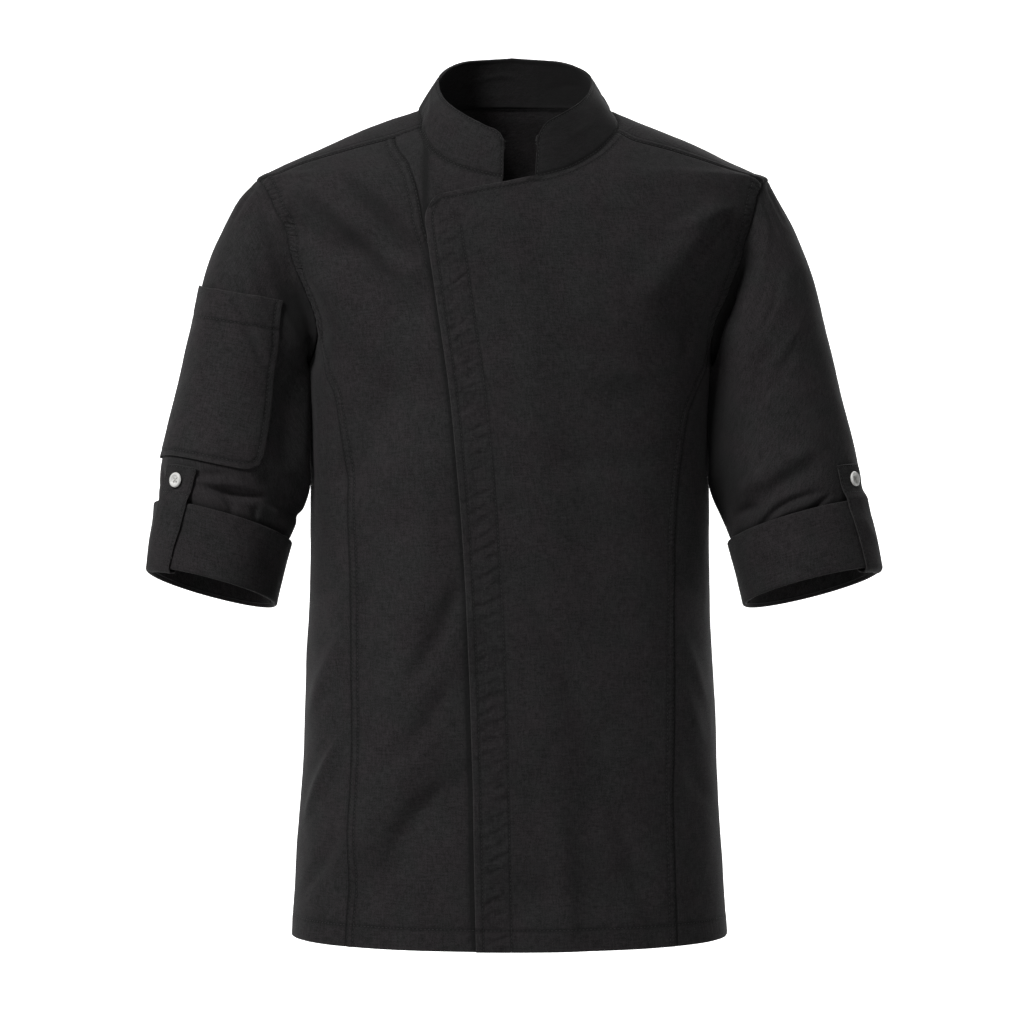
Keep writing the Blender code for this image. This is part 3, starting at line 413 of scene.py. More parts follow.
def torso_form(places):
    """Smooth points of the torso, their normals, and how far the folds move them outward."""
    turn, z = places[..., 0], places[..., 1]
    smooth = body(turn, z)
    smooth[..., 1] += sink_at_armholes(smooth)
    seen = smooth[..., [0, 2]]
    height = ripple(smooth, 3, 0.110, 0.35 * MM) + ripple(smooth, 4, 0.030, 0.07 * MM)
    for face, here in (("front", smooth[..., 1] < 0), ("back", smooth[..., 1] >= 0)):
        height += here * FOLDS_DEEPER * sum(ridge(seen, fold) for fold in FOLDS[face])
        for fold in CREASES[face]:
            height += here * crease(seen, fold, THIN_CREASES_DEEPER if fold[6] < THIN else CREASES_DEEPER)
    return smooth, outward(body, turn, z), height


counted = sum(len(table) for kind in (FOLDS, CREASES) for table in kind.values())
print("folds and creases on the torso:", counted)

# %% [markdown]
# ## A net whose lines follow the seams
#
# Stitches run at a fixed distance from an edge, so the mesh should have lines there. A plain grid
# has them only by luck. This net keeps its outer lines at chosen distances from the four seams and
# shares out the rest of the cloth evenly, the way a cutter chalks the seam allowance first.

# %% Stretch a piece between its four lines
NET_PARTS = 140
FAR = 1.0
SHORTEST = 0.00001
EDGE_LINES = [0.0, 0.45 * MM, 0.95 * MM, 1.5 * MM]
LEAN_SPREAD = 9
SIDES = ("first", "last", "lower", "upper")


def read(line, along, where):
    """Points of a line at these distances along it."""
    return np.stack([np.interp(where, along, column) for column in line.T], axis=-1)


class Cut:
    """The four lines round a piece of cloth: lower and upper, first and last."""

    def __init__(self, lower, upper, first, last, hold=1.0):
        self.lower, self.hold = lower, hold
        self.first, self.last = beside(first, lower[0]), beside(last, lower[-1])
        self.upper = beside(upper, self.first[-1])

    def places(self, across, up):
        """Places on the piece, by its shares across and up."""
        lower, upper, first, last = (
            read(line, np.linspace(0, 1, len(line)), part)
            for line, part in ((self.lower, across), (self.upper, across), (self.first, up), (self.last, up))
        )
        rise, side = up[..., None] ** self.hold, across[..., None]
        low = (1 - side) * self.lower[0] + side * self.lower[-1]
        high = (1 - side) * self.upper[0] + side * self.upper[-1]
        return (1 - rise) * (lower - low) + rise * (upper - high) + (1 - side) * first + side * last


def edge_lines(rows, closed=False):
    """Distances from a seam at which the net has lines, with one under each thread row."""
    lines = [0.0] if closed else list(EDGE_LINES)
    for row in sorted(rows):
        while row - 1.0 * MM - lines[-1] > 1.9 * MM:
            lines.append(lines[-1] + 1.6 * MM)
        lines += [distance for distance in (row - 0.9 * MM, row, row + 0.9 * MM) if distance > lines[-1]]
    return np.array(lines)


def lengths(points, axis):
    """The length along a grid of points from its first line."""
    steps = np.linalg.norm(np.diff(points, axis=axis), axis=-1)
    return np.insert(np.cumsum(steps, axis=axis), 0, 0, axis=axis)


def slant(points, edge, axis):
    """The sine of the angle at which the net's lines meet an edge of it."""
    rim = np.take(points, edge, axis=axis)
    inner = np.take(points, 1 if edge == 0 else -2, axis=axis) - rim
    rim_run = np.gradient(rim, axis=0)
    turned = np.linalg.norm(np.cross(inner, rim_run), axis=-1)
    sine = turned / np.linalg.norm(inner, axis=-1) / np.linalg.norm(rim_run, axis=-1)
    padded = np.pad(np.clip(sine, 0.4, 1), LEAN_SPREAD // 2, mode="edge")
    return np.convolve(padded, np.ones(LEAN_SPREAD) / LEAN_SPREAD, mode="valid")


def share_out(along, edges, leans, step):
    """For each line, the shares at which the others cross it."""
    whole = along[:, -1:]
    spread = max(4, int(np.ceil((whole.max() - edges[0][-1] - edges[1][-1]) / step)))
    start, end = (edge[None] / lean[:, None] for edge, lean in zip(edges, leans))
    for part in (start, end):
        part *= np.minimum(1, 0.45 * whole / np.maximum(part[:, -1:], SHORTEST))
    middle = np.linspace(0, 1, spread + 1)[None, 1:-1]
    between = start[:, -1:] * (1 - middle) + (whole - end[:, -1:]) * middle
    wanted = np.concatenate([start, between, whole - end[:, ::-1]], axis=1)
    parts = np.linspace(0, 1, along.shape[1])
    return np.array([np.interp(want, line, parts) for want, line in zip(wanted, along)])


def lay_net(cut, form, rows_beside, steps, closed):
    """The shares across and up of a net, whose outer lines keep their distance from the edges."""
    parts = np.linspace(0, 1, NET_PARTS + 1)
    across, up = np.meshgrid(parts, parts)
    points = form(cut.places(across, up))[0]
    near = [edge_lines(rows_beside[side], closed and side in ("first", "last")) for side in SIDES]
    columns = share_out(lengths(points, 1), near[:2], (slant(points, 0, 1), slant(points, -1, 1)), steps[0])
    lines = share_out(lengths(points, 0).T, near[2:], (slant(points, 0, 0), slant(points, -1, 0)), steps[1])
    across = np.tile(np.linspace(0, 1, columns.shape[1]), (lines.shape[1], 1))
    up = np.tile(np.linspace(0, 1, lines.shape[1])[:, None], (1, columns.shape[1]))
    for _ in range(8):
        across = np.stack([np.interp(up[:, k], parts, columns[:, k]) for k in range(up.shape[1])], axis=1)
        up = np.stack([np.interp(across[k], parts, lines[:, k]) for k in range(up.shape[0])], axis=0)
    return across, up


# %% [markdown]
# ## Seams, rows and puckers
#
# Two rows of thread pull a felled seam into a low ladder: the cloth rises between them, dips under
# each row and puckers every few millimetres, because the thread is a little tighter than the cloth.
# A seam here knows its line on the cloth and gives each nearby point its dip and lift, and its
# colour mark: wear with a painted rim highlight on free edges, and painted shade along seams and rows.

# %% A sewn edge
LINE_SPACING = 0.4 * MM


def evenly(points, spacing):
    """Points along a line, at even steps, with the distance of each from the start."""
    along = lengths(points, 0)
    wanted = np.linspace(0, along[-1], max(2, int(round(along[-1] / spacing)) + 1))
    return read(points, along, wanted), wanted


def nearest(points, line, along):
    """Each point's distance from a line, and how far along it the nearest place is."""
    distance, where = np.empty(len(points)), np.empty(len(points))
    middle = line.mean(axis=0)
    line_from = line - middle
    line_square = (line_from**2).sum(axis=1)
    for part in np.array_split(np.arange(len(points)), len(points) // 3000 + 1):
        away = points[part] - middle
        square = line_square[None] - 2 * away @ line_from.T
        best = square.argmin(axis=1)
        distance[part] = np.sqrt(np.maximum(square[np.arange(len(part)), best] + (away**2).sum(axis=1), 0))
        where[part] = along[best]
    return distance, where


def uneven_wave(along, period, seed):
    """A wave whose length and height both wander, as puckers do."""
    phase = along / period
    drift = 0.22 * np.sin(phase * 1.7 + seed) + 0.16 * np.sin(phase * 0.61 + 2.1 * seed)
    height = 0.72 + 0.28 * np.sin(phase * 0.83 + 1.3 * seed)
    return np.sin(2 * np.pi * (phase + drift)) * height


def rolled(away, roll):
    """How far an edge's rounding drops the cloth near it."""
    inside = roll - np.minimum(away, roll)
    return np.sqrt(roll**2 - inside**2) - roll


class Seam:
    """One edge of a piece: its line, how thread shapes the cloth beside it, and the wear and painted light it
    marks there.
    """

    def __init__(self, side, line, rows=(), lift=0.0, pucker=0.0, dip=0.6 * MM, free=False, spans=None,
                 band=None, period=5.2 * MM, tilt=0.5):
        self.side, self.line, self.rows, self.spans = side, line, np.array(rows, float), spans or {}
        self.lift, self.pucker, self.dip, self.free = lift, pucker, dip, free
        self.band, self.period, self.tilt = band, period, tilt

    def shape(self, points, form, seed):
        """What this seam gives to points near it: height, wear and painted light, puckers, and where they are.
        """
        line, along = evenly(form(self.line)[0], LINE_SPACING)
        away, where = nearest(points, line, along)
        self.length = along[-1]
        height = rolled(away, 0.75 * MM if self.free else 0.9 * MM) - self.dip * bell(away, 1.5 * MM)
        # Free edges are painted lighter, partly for wear and partly as a painted rim highlight. A sewn seam
        # line is painted darker: painted shade in its groove.
        painted_and_worn = (0.26 if self.free else -1.05) * bell(away, 0.90 * MM)
        band = np.zeros(len(points))
        if len(self.rows):
            last = self.rows.max()
            start, end = self.band or (self.rows.min() - 2.4 * MM, last + 2.4 * MM)
            band = np.exp(-(((away - (start + end) / 2) / ((end - start) / 2)) ** 4))
            height += self.lift * np.clip((last + 1.6 * MM - away) / (1.6 * MM), 0, 1)
            height += 0.4 * self.pucker * uneven_wave(where, 9 * MM, seed) * band
            for row in self.rows:
                first, final = (share * self.length for share in self.spans.get(row, (0, 1)))
                under = bell(away - row, 0.90 * MM) * ((where >= first) & (where <= final))
                height -= 0.50 * MM * under
                # Each row is painted darker: painted shade in its groove.
                painted_and_worn -= 1.15 * under
        run = (where + self.tilt * away) / self.period
        return height, painted_and_worn, self.pucker / (0.3 * MM) * band, run, away, where


# %% [markdown]
# ## A piece of cloth
#
# A piece starts as a flat grid from one operator. Its points move to the form, and the Solidify
# modifier turns the sheet into a wall. The grid also carries what the finish needs: a map in metres,
# so that the twill's lines keep their real size, and an attribute for wear and painted light, which
# paints worn edges lighter, partly as a painted rim highlight, and seams and shaded places darker as
# painted shade.

# %% Cut a piece and lay it on the form
def charted(points):
    """A flat map in metres: how far each point is along its row and up its column."""
    return np.stack([lengths(points, 1), lengths(points, 0)], axis=-1)


def facing_of(points):
    """The normals of a grid of points."""
    facing = np.cross(np.gradient(points, axis=1), np.gradient(points, axis=0))
    return facing / np.maximum(np.linalg.norm(facing, axis=-1, keepdims=True), 1e-12)


class Piece:
    """A piece of cloth on its form, with its seams."""

    def __init__(self, name, cut, form, seams, steps, raised=None, closed=False, seed=1, under=None):
        self.name, self.closed = name, closed
        rows_beside = {
            side: [row for seam in seams if seam.side == side for row in seam.rows] for side in SIDES
        }
        places = cut.places(*lay_net(cut, form, rows_beside, steps, closed))
        smooth, normal, height = form(places)
        self.map = charted(smooth)
        across, up = self.map[..., 0], self.map[..., 1]
        from_side = {"first": across, "last": across[:, -1:] - across, "lower": up, "upper": up[-1:] - up}
        self.wear, self.band, self.run = (np.zeros(height.shape) for _ in range(3))
        self.beside = {}
        for number, seam in enumerate(seams):
            reach = max(seam.rows, default=0) * 1.6 + 9 * MM
            close = from_side[seam.side] < reach
            more, painted_and_worn, band, run, away, where = seam.shape(smooth[close], form, seed + 1.7 * number)
            height[close] += more
            self.wear[close] = np.clip(self.wear[close] + painted_and_worn, -1, 1)
            stronger = band > self.band[close]
            self.run[close] = np.where(stronger, run, self.run[close])
            self.band[close] = np.maximum(self.band[close], band)
            self.beside[seam] = np.full(height.shape, FAR), np.full(height.shape, -1.0)
            for whole, found in zip(self.beside[seam], (away, where)):
                whole[close] = found
        if raised is not None:
            height += raised(places, smooth)
        # Painted shade: a piece's under function darkens its colour where shade falls.
        if under is not None:
            self.wear -= under(places, smooth)
        self.points = smooth + normal * height[..., None]
        facing = facing_of(self.points)
        self.normal = facing * np.sign((facing * normal).sum(axis=-1).mean())

    def row(self, seam, distance, start=0.0, end=1.0):
        """The points and normals under a thread row, between two shares of its seam."""
        grids = [*self.beside[seam], self.points, self.normal]
        if seam.side in ("lower", "upper"):
            grids = [np.swapaxes(grid, 0, 1) for grid in grids]
        if seam.side in ("last", "upper"):
            grids = [grid[:, ::-1] for grid in grids]
        away, where, points, normal = grids
        column = (away >= distance).argmax(axis=1)
        line = np.arange(len(away))
        first, second = away[line, column - 1], away[line, column]
        where = where[line, column] / seam.length
        slack = 0.4 * MM / seam.length
        kept = (column > 0) & (second < FAR) & (where > start + slack) & (where < end - slack)
        part = ((distance - first) / np.maximum(second - first, 1e-9))[:, None]
        under = points[line, column - 1] * (1 - part) + points[line, column] * part
        order = np.argsort(where[kept], kind="stable")
        return under[kept][order], normal[line, column][kept][order]

    def tack(self, seam, z, near, far, lines=3):
        """Short lines of thread across an edge, where a maker locks a row of stitches."""
        for step in range(lines):
            ends = []
            for points, normals in (self.row(seam, near), self.row(seam, far)):
                spot = np.abs(points[:, 2] - z).argmin() + step
                ends.append((points[spot], normals[spot]))
            points, normals = (np.array(found) for found in zip(*ends))
            stitch(self.name, points, normals)

    def stitch_rows(self):
        """Thread along every row of every seam."""
        for seam in self.beside:
            for row in seam.rows:
                stitch(self.name, *self.row(seam, row, *seam.spans.get(row, (0.0, 1.0))))


# %% Turn a piece into a mesh
def grid_mesh(name, points, flat_map, marks, closed, toward):
    """A mesh from one grid operator, moved to these points and faced towards these directions."""
    rows, columns = points.shape[0] - 1, points.shape[1] - 1
    sheet = bmesh.new()
    bmesh.ops.create_grid(sheet, x_segments=columns, y_segments=rows, size=0.5)
    data = bpy.data.meshes.new(name)
    sheet.to_mesh(data)
    sheet.free()
    flat = np.empty(len(data.vertices) * 3, np.float32)
    data.vertices.foreach_get("co", flat)
    flat = flat.reshape(-1, 3)
    column = np.rint((flat[:, 0] + 0.5) * columns).astype(int)
    row = np.rint((flat[:, 1] + 0.5) * rows).astype(int)
    data.vertices.foreach_set("co", points[row, column].astype(np.float32).ravel())
    corner = np.empty(len(data.loops), np.int32)
    data.loops.foreach_get("vertex_index", corner)
    chart = data.uv_layers.new(name="cloth")
    chart.data.foreach_set("uv", flat_map[row, column][corner].astype(np.float32).ravel())
    for mark, values in marks.items():
        kept = data.attributes.new(mark, "FLOAT", "POINT")
        kept.data.foreach_set("value", values[row, column].astype(np.float32))
    whole = bmesh.new()
    whole.from_mesh(data)
    if closed:
        whole.verts.ensure_lookup_table()
        seam = [whole.verts[int(k)] for k in np.nonzero((column == 0) | (column == columns))[0]]
        bmesh.ops.remove_doubles(whole, verts=seam, dist=0.00001)
    whole.faces.ensure_lookup_table()
    middle = whole.faces[len(whole.faces) // 2]
    vert = middle.verts[0].co
    place = np.linalg.norm(points - np.array(vert), axis=-1).argmin()
    if middle.normal.dot(Vector(toward.reshape(-1, 3)[place])) < 0:
        bmesh.ops.reverse_faces(whole, faces=whole.faces[:])
    whole.to_mesh(data)
    whole.free()
    data.shade_smooth()
    return data


def add_object(name, data, *nodes):
    """Puts a mesh in the scene as a piece that rides with the jacket and stands for its solids."""
    made = bpy.data.objects.new(name, data)
    bpy.context.scene.collection.objects.link(made)
    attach(made, "root")
    if nodes:
        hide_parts(*nodes)
    return made


def add_cloth(name, data, wall):
    """Adds a sheet of cloth, with a wall grown inward."""
    made = add_object(name + "_cloth", data, name)
    thick = made.modifiers.new("wall", "SOLIDIFY")
    thick.thickness, thick.offset = wall, -1
    print(name, "triangles", 4 * len(data.polygons))


def sew(piece, wall):
    """Adds a piece of cloth with its thread."""
    marks = {"wear": piece.wear, "band": piece.band, "run": piece.run}
    data = grid_mesh(piece.name, piece.points, piece.map, marks, piece.closed, piece.normal)
    add_cloth(piece.name, data, wall)
    piece.stitch_rows()


# %% [markdown]
# ## Thread
#
# A stitch is a short grain of thread that dips into the cloth at both ends. Thousands are needed, so
# one small ball from an operator is stretched into a grain, and arrays copy it along every row. Each
# piece of cloth gets its thread as one joined mesh.

# %% Lay stitches along a row
STITCH, STITCH_GAP, THREAD = 2.4 * MM, 1.1 * MM, 0.42 * MM
threads = {}


def stitch(name, points, normals, lift=0.02 * MM, pitch=STITCH + STITCH_GAP):
    """Stitches along a line that lies on a piece of cloth."""
    if len(points) < 2:
        return
    along = lengths(points, 0)
    count = int(along[-1] / pitch)
    if count < 1:
        return
    centre = (np.arange(count) + 0.5) * along[-1] / count
    run = read(points, along, centre + 0.4 * pitch) - read(points, along, centre - 0.4 * pitch)
    up = read(normals, along, centre)
    threads.setdefault(name, []).append((read(points, along, centre) + up * lift, run, up))


def thread_template():
    """The points and faces of one grain of thread, as long as 1 and as thick as 1."""
    ball = bmesh.new()
    bmesh.ops.create_uvsphere(ball, u_segments=5, v_segments=3, radius=0.5)
    points = np.array([(vert.co.z, vert.co.x, vert.co.y) for vert in ball.verts])
    faces = [[vert.index for vert in face.verts] for face in ball.faces]
    ball.free()
    return points, faces


def add_threads(name, length=STITCH):
    """Joins all the stitches of a piece into one mesh."""
    grain, faces = thread_template()
    centres, runs, ups = (np.concatenate(parts) for parts in zip(*threads[name]))
    runs /= np.linalg.norm(runs, axis=1, keepdims=True)
    sides = np.cross(ups, runs)
    sides /= np.linalg.norm(sides, axis=1, keepdims=True)
    ups = np.cross(runs, sides)
    points = centres[:, None] + runs[:, None] * grain[None, :, :1] * length
    points = points + sides[:, None] * grain[None, :, 1:2] * THREAD + ups[:, None] * grain[None, :, 2:] * THREAD
    corners = np.concatenate([np.array(face) for face in faces])
    sizes = np.array([len(face) for face in faces])
    count = len(centres)
    starts = np.arange(count) * len(grain)
    data = bpy.data.meshes.new(name + "_thread")
    data.vertices.add(count * len(grain))
    data.vertices.foreach_set("co", points.astype(np.float32).ravel())
    data.loops.add(count * len(corners))
    data.loops.foreach_set("vertex_index", (starts[:, None] + corners).astype(np.int32).ravel())
    data.polygons.add(count * len(faces))
    first = np.concatenate([[0], np.cumsum(sizes)[:-1]])
    first = (np.arange(count)[:, None] * len(corners) + first).astype(np.int32)
    data.polygons.foreach_set("loop_start", first.ravel())
    data.update(calc_edges=True)
    data.validate()
    data.shade_smooth()
    made = add_object(name + "_thread", data)
    print(name, "stitches:", count)
    return made


# %% [markdown]
# ## The fronts
#
# The left front laps over the right one. It has a slanting edge with a rounded top corner, and runs
# to a princess seam at the side. The right front is two pieces, joined by a slanting seam that shows
# beside the closing. Narrow side fronts reach round to the side seams.

# %% How each kind of edge is sewn
PRINCESS_ROWS, ARMHOLE_ROWS, SIDE_ROWS = (1.7 * MM, 7.6 * MM), (1.4 * MM, 11.5 * MM), (1.5 * MM, 7.5 * MM)
INSET_ROWS, NOTCH_ROWS, YOKE_ROWS = (1.4 * MM, 8.2 * MM), (1.6 * MM, 6.4 * MM), (1.4 * MM, 6.6 * MM)
PLACKET_ROWS = (6.6 * MM, 30.5 * MM)
HEM_ROW, WING_ROW = 18.8 * MM, 5.4 * MM
FREE = {"dip": 0.0, "free": True}
HEMMED = {
    "lift": 0.15 * MM, "pucker": 0.14 * MM, "band": (4 * MM, 20 * MM), "period": 6 * MM, "tilt": 0.2, **FREE
}
PRINCESS_SEAM = {"rows": PRINCESS_ROWS, "lift": 0.50 * MM, "pucker": 0.32 * MM}
SIDE_SEAM = {"rows": SIDE_ROWS, "lift": 0.4 * MM, "pucker": 0.2 * MM}
ARMHOLE_SEAM = {"rows": ARMHOLE_ROWS, "lift": 0.4 * MM, "pucker": 0.28 * MM}
YOKE_SEAM = {"rows": YOKE_ROWS, "lift": 0.35 * MM, "pucker": 0.22 * MM}
FRONT_STEPS, SIDE_STEPS = (3.3 * MM, 2.3 * MM), (3.3 * MM, 3.1 * MM)
BACK_STEPS, HIDDEN_STEPS = (4.6 * MM, 4.2 * MM), (5.0 * MM, 4.0 * MM)
CLOTH = 1.5 * MM

# %% What the overlap does to the cloth round it
OVERLAP_RAISE, OVERLAP_STANDS = 3.4 * MM, 2.4 * MM
OVERLAP_RAISED_TO, OVERLAP_FLAT_FROM = 0.066, 0.110

# Short creases of the placket: height, half width and depth, in millimetres.
PLACKET_CREASES = rows("""
-112 3 .35; -128 2.6 .45; -146 3.4 .4; -171 2.8 .5; -196 3.6 .4; -214 2.6 .5; -243 3.2 .45; -262 2.8 .4;
-291 3.4 .55; -321 2.8 .5; -344 3 .4; -367 3.2 .6; -393 2.8 .55; -415 3 .5; -441 2.8 .6; -467 3 .55;
-491 2.6 .5; -520 3.2 .6; -531 2.4 .45; -559 3.2 .6; -595 3 .6; -609 2.6 .5; -627 2.6 .6; -658 3 .55;
-677 2.6 .55; -694 2.8 .5
""")

# Tacks on the placket: height, then how far from the edge they start and end, in millimetres.
TACKS = rows("-102 .9 6.2; -131 .9 6.2; -554 27.4 34; -730 27.4 34")

# Folds of the right chest, painted darker as painted shade: line, half width and strength.
SHADED_CHEST_FOLDS = rows("""
-202 -76 -150 -104 -88 -178 9 .72; -150 -66 -110 -100 -72 -144 10 .66; -50 -415 -62 -470 -94 -520 10 .35
""", [MM] * 7 + [1])


def from_placket(smooth):
    """How far each point lies from the overlap's edge, towards the wearer's left."""
    return smooth[..., 0] - placket_x(smooth[..., 2])


def placket_x(z):
    return np.interp(z, PLACKET_EDGE[:, 1], PLACKET_EDGE[:, 0])


def overlap_raise(places, smooth):
    """The left front lies on the right one near its edge, with short creases down the placket."""
    height = OVERLAP_RAISE * (1 - smooth_step(from_placket(smooth), OVERLAP_RAISED_TO, OVERLAP_FLAT_FROM))
    standing = smooth_step(-smooth[..., 2], 0.48, 0.60) * smooth_step(smooth[..., 2], -0.76, -0.68)
    height += OVERLAP_STANDS * standing * bell(from_placket(smooth), 22 * MM)
    seen = smooth[..., [0, 2]]
    for z, half_width, depth in PLACKET_CREASES:
        line = np.array([8, -3.5, 19, -1.5, 29, 4]) * MM + [placket_x(z), z] * 3
        height -= crease(seen, np.append(line, (half_width, depth)))
        above = line + [0, 1.5 * half_width] * 3
        height += crease(seen, np.append(above, (half_width, 0.6 * depth)))
    return height


def shade_beside_overlap(places, smooth):
    """Painted shade: a painted shadow in the crevice beside the overlap's edge, and along the folds above it.
    """
    from_edge = from_placket(smooth)
    low = 0.45 + 0.55 * smooth_step(-smooth[..., 2], 0.48, 0.56) * smooth_step(smooth[..., 2], -0.76, -0.70)
    dark = 2.1 * low * bell(from_edge + 1.0 * MM, 3.3 * MM) + 0.7 * bell(from_edge + 0.6 * MM, 1.6 * MM)
    return dark + sum(crease(smooth[..., [0, 2]], fold) for fold in SHADED_CHEST_FOLDS)


def hem(start, end, faces):
    return straight((start, HEM_Z), (end, HEM_Z), faces)


# %% Cut the fronts
front_rows = PRINCESS_FACES + FRONT_FACES
princess = {
    side: front_curve(PRINCESS[side], PRINCESS_FACES, end=armhole_place(side, ARMHOLE_PRINCESS[side]))
    for side in BOTH
}
armhole = {
    side: armhole_line(side, ARMHOLE_PRINCESS[side], ARMHOLE_YOKE_FRONT[side], FRONT_FACES) for side in BOTH
}
underarm = {side: armhole_line(side, ARMHOLE_PRINCESS[side], 180, UNDER_FACES) for side in BOTH}


def front_left():
    edge = front_curve(PLACKET_EDGE, front_rows, place_in_front(*WING_EDGE[0]), ROW_EASE)
    wing = front_curve(WING_EDGE, WING_FACES, end=neck_place(COLLAR_END["left"]))
    neck = neck_front("left")
    shoulder = shoulder_seam("left")
    outer = join(princess["left"], armhole["left"])
    lower = hem(edge[0, 0], outer[0, 0], 24)
    placket = Seam("first", edge, PLACKET_ROWS, pucker=0.56 * MM, spans={PLACKET_ROWS[1]: (0.0, 0.955)},
                   band=(4 * MM, 33 * MM), period=11.5 * MM, tilt=-0.46, **FREE)
    seams = [
        placket,
        Seam("upper", wing, (WING_ROW,), pucker=0.22 * MM, **FREE),
        Seam("upper", neck, NOTCH_ROWS, lift=0.25 * MM, pucker=0.20 * MM),
        Seam("upper", shoulder),
        Seam("last", princess["left"], **PRINCESS_SEAM),
        Seam("last", armhole["left"], ARMHOLE_ROWS, lift=0.60 * MM, pucker=0.50 * MM),
        Seam("lower", lower, (HEM_ROW,), **HEMMED),
    ]
    cut = Cut(lower, join(wing, neck, shoulder), edge, outer)
    piece = Piece("front_left_overlap", cut, torso_form, seams, FRONT_STEPS, overlap_raise, seed=2)
    for tack in TACKS:
        piece.tack(placket, *tack)
    sew(piece, CLOTH)


front_left()


# %% The right front, in two pieces
def front_right():
    shoulder = shoulder_seam("right")
    meet = INSET_YOKE_FACES * FINER
    inset_seam = front_curve(UNDER_SEAM, front_rows, shoulder[meet], ROW_EASE)
    outer = join(princess["right"], armhole["right"])
    lower = hem(inset_seam[0, 0], outer[0, 0], 10)
    seams = [
        Seam("first", inset_seam, INSET_ROWS, lift=0.40 * MM, pucker=0.22 * MM,
             spans={row: (0.80, 1.0) for row in INSET_ROWS}),
        Seam("upper", shoulder[meet:]),
        Seam("last", princess["right"], **PRINCESS_SEAM),
        Seam("last", armhole["right"], ARMHOLE_ROWS, lift=0.65 * MM, pucker=0.85 * MM),
        Seam("lower", lower, (HEM_ROW,), **HEMMED),
    ]
    cut = Cut(lower, shoulder[meet:], inset_seam, outer)
    # Painted shade beside the overlap darkens this piece.
    sew(Piece("front_right_under", cut, torso_form, seams, FRONT_STEPS, seed=5, under=shade_beside_overlap), CLOTH)

    neck = neck_front("right")
    edge = front_curve(UNDERLAP_EDGE, front_rows, neck[0], ROW_EASE)
    lower = hem(edge[0, 0], inset_seam[0, 0], 10)
    seams = [
        Seam("first", edge, **FREE),
        Seam("last", inset_seam),
        Seam("upper", neck, NOTCH_ROWS[:1], lift=0.2 * MM, pucker=0.18 * MM),
        Seam("lower", lower, (HEM_ROW,), lift=0.15 * MM, pucker=0.10 * MM, **FREE),
    ]
    cut = Cut(lower, join(neck, shoulder[: meet + 1]), edge, inset_seam, INSET_HOLD)
    # Painted shade beside the overlap darkens this piece.
    sew(Piece("front_right_inset", cut, torso_form, seams, HIDDEN_STEPS, seed=7, under=shade_beside_overlap), CLOTH)


front_right()


# %% The side fronts
def side_seam(side):
    return straight((SIDE_TURN[side], HEM_Z), (SIDE_TURN[side], UNDERARM_Z), PRINCESS_FACES)


def side_front(side):
    lower = hem(princess[side][0, 0], SIDE_TURN[side], UNDER_FACES)
    seams = [
        Seam("first", princess[side]),
        Seam("last", side_seam(side)),
        Seam("upper", underarm[side], ARMHOLE_ROWS[:1], pucker=0.2 * MM),
        Seam("lower", lower, (HEM_ROW,), **HEMMED),
    ]
    cut = Cut(lower, underarm[side], princess[side], side_seam(side))
    sew(Piece("side_front_" + side, cut, torso_form, seams, SIDE_STEPS, seed=9), CLOTH)


for side in BOTH:
    side_front(side)

# %% [markdown]
# ## Back and yoke
#
# The back hangs from a yoke, one piece that lies over both shoulders and meets the fronts a little
# forward of the shoulder line. Their seams are felled too, so the thread shows as double rows.

# %% Cut the back and the yoke
def back():
    arm = {side: armhole_line(side, 180, ARMHOLE_YOKE_BACK, FRONT_FACES) for side in BOTH}
    lower = hem(SIDE_TURN["right"], SIDE_TURN["left"], BACK_FACES)
    seams = [Seam("upper", back_seam)]
    for side, edge in zip(BOTH, ("first", "last")):
        seams += [Seam(edge, side_seam(side), **SIDE_SEAM), Seam(edge, arm[side], **ARMHOLE_SEAM)]
    seams.append(Seam("lower", lower, (HEM_ROW,), **HEMMED))
    cut = Cut(lower, back_seam, *(join(side_seam(side), arm[side]) for side in BOTH))
    sew(Piece("back", cut, torso_form, seams, BACK_STEPS, seed=11), CLOTH)


def yoke():
    over = {
        side: armhole_line(side, 360 + ARMHOLE_YOKE_FRONT[side], ARMHOLE_YOKE_BACK, YOKE_FACES) for side in BOTH
    }
    outer = join(over["right"], back_seam, over["left"][::-1])
    neck = neck_place(np.linspace(NECK_YOKE["right"], NECK_YOKE["left"], len(outer)))
    right, left = (shoulder_seam(side)[::-1] for side in BOTH)
    seams = [
        Seam("lower", over["right"], **ARMHOLE_SEAM),
        Seam("lower", back_seam, YOKE_ROWS, lift=0.4 * MM, pucker=0.2 * MM),
        Seam("lower", over["left"], **ARMHOLE_SEAM),
        Seam("first", right, **YOKE_SEAM),
        Seam("last", left, **YOKE_SEAM),
        Seam("upper", neck, (1.5 * MM,), pucker=0.15 * MM),
    ]
    sew(Piece("yoke", Cut(outer, neck, right, left), torso_form, seams, SIDE_STEPS, seed=13), CLOTH)


back_seam = straight(*(armhole_place(side, ARMHOLE_YOKE_BACK) for side in BOTH), BACK_FACES)
back()
yoke()

# %% [markdown]
# ## The stand collar
#
# The collar is a straight band that stands up round the neck, with rounded front corners. Its form
# joins the neckline to an upper edge of its own, and the corner rounding lowers that edge near both
# ends. A row of thread runs just inside the edge.

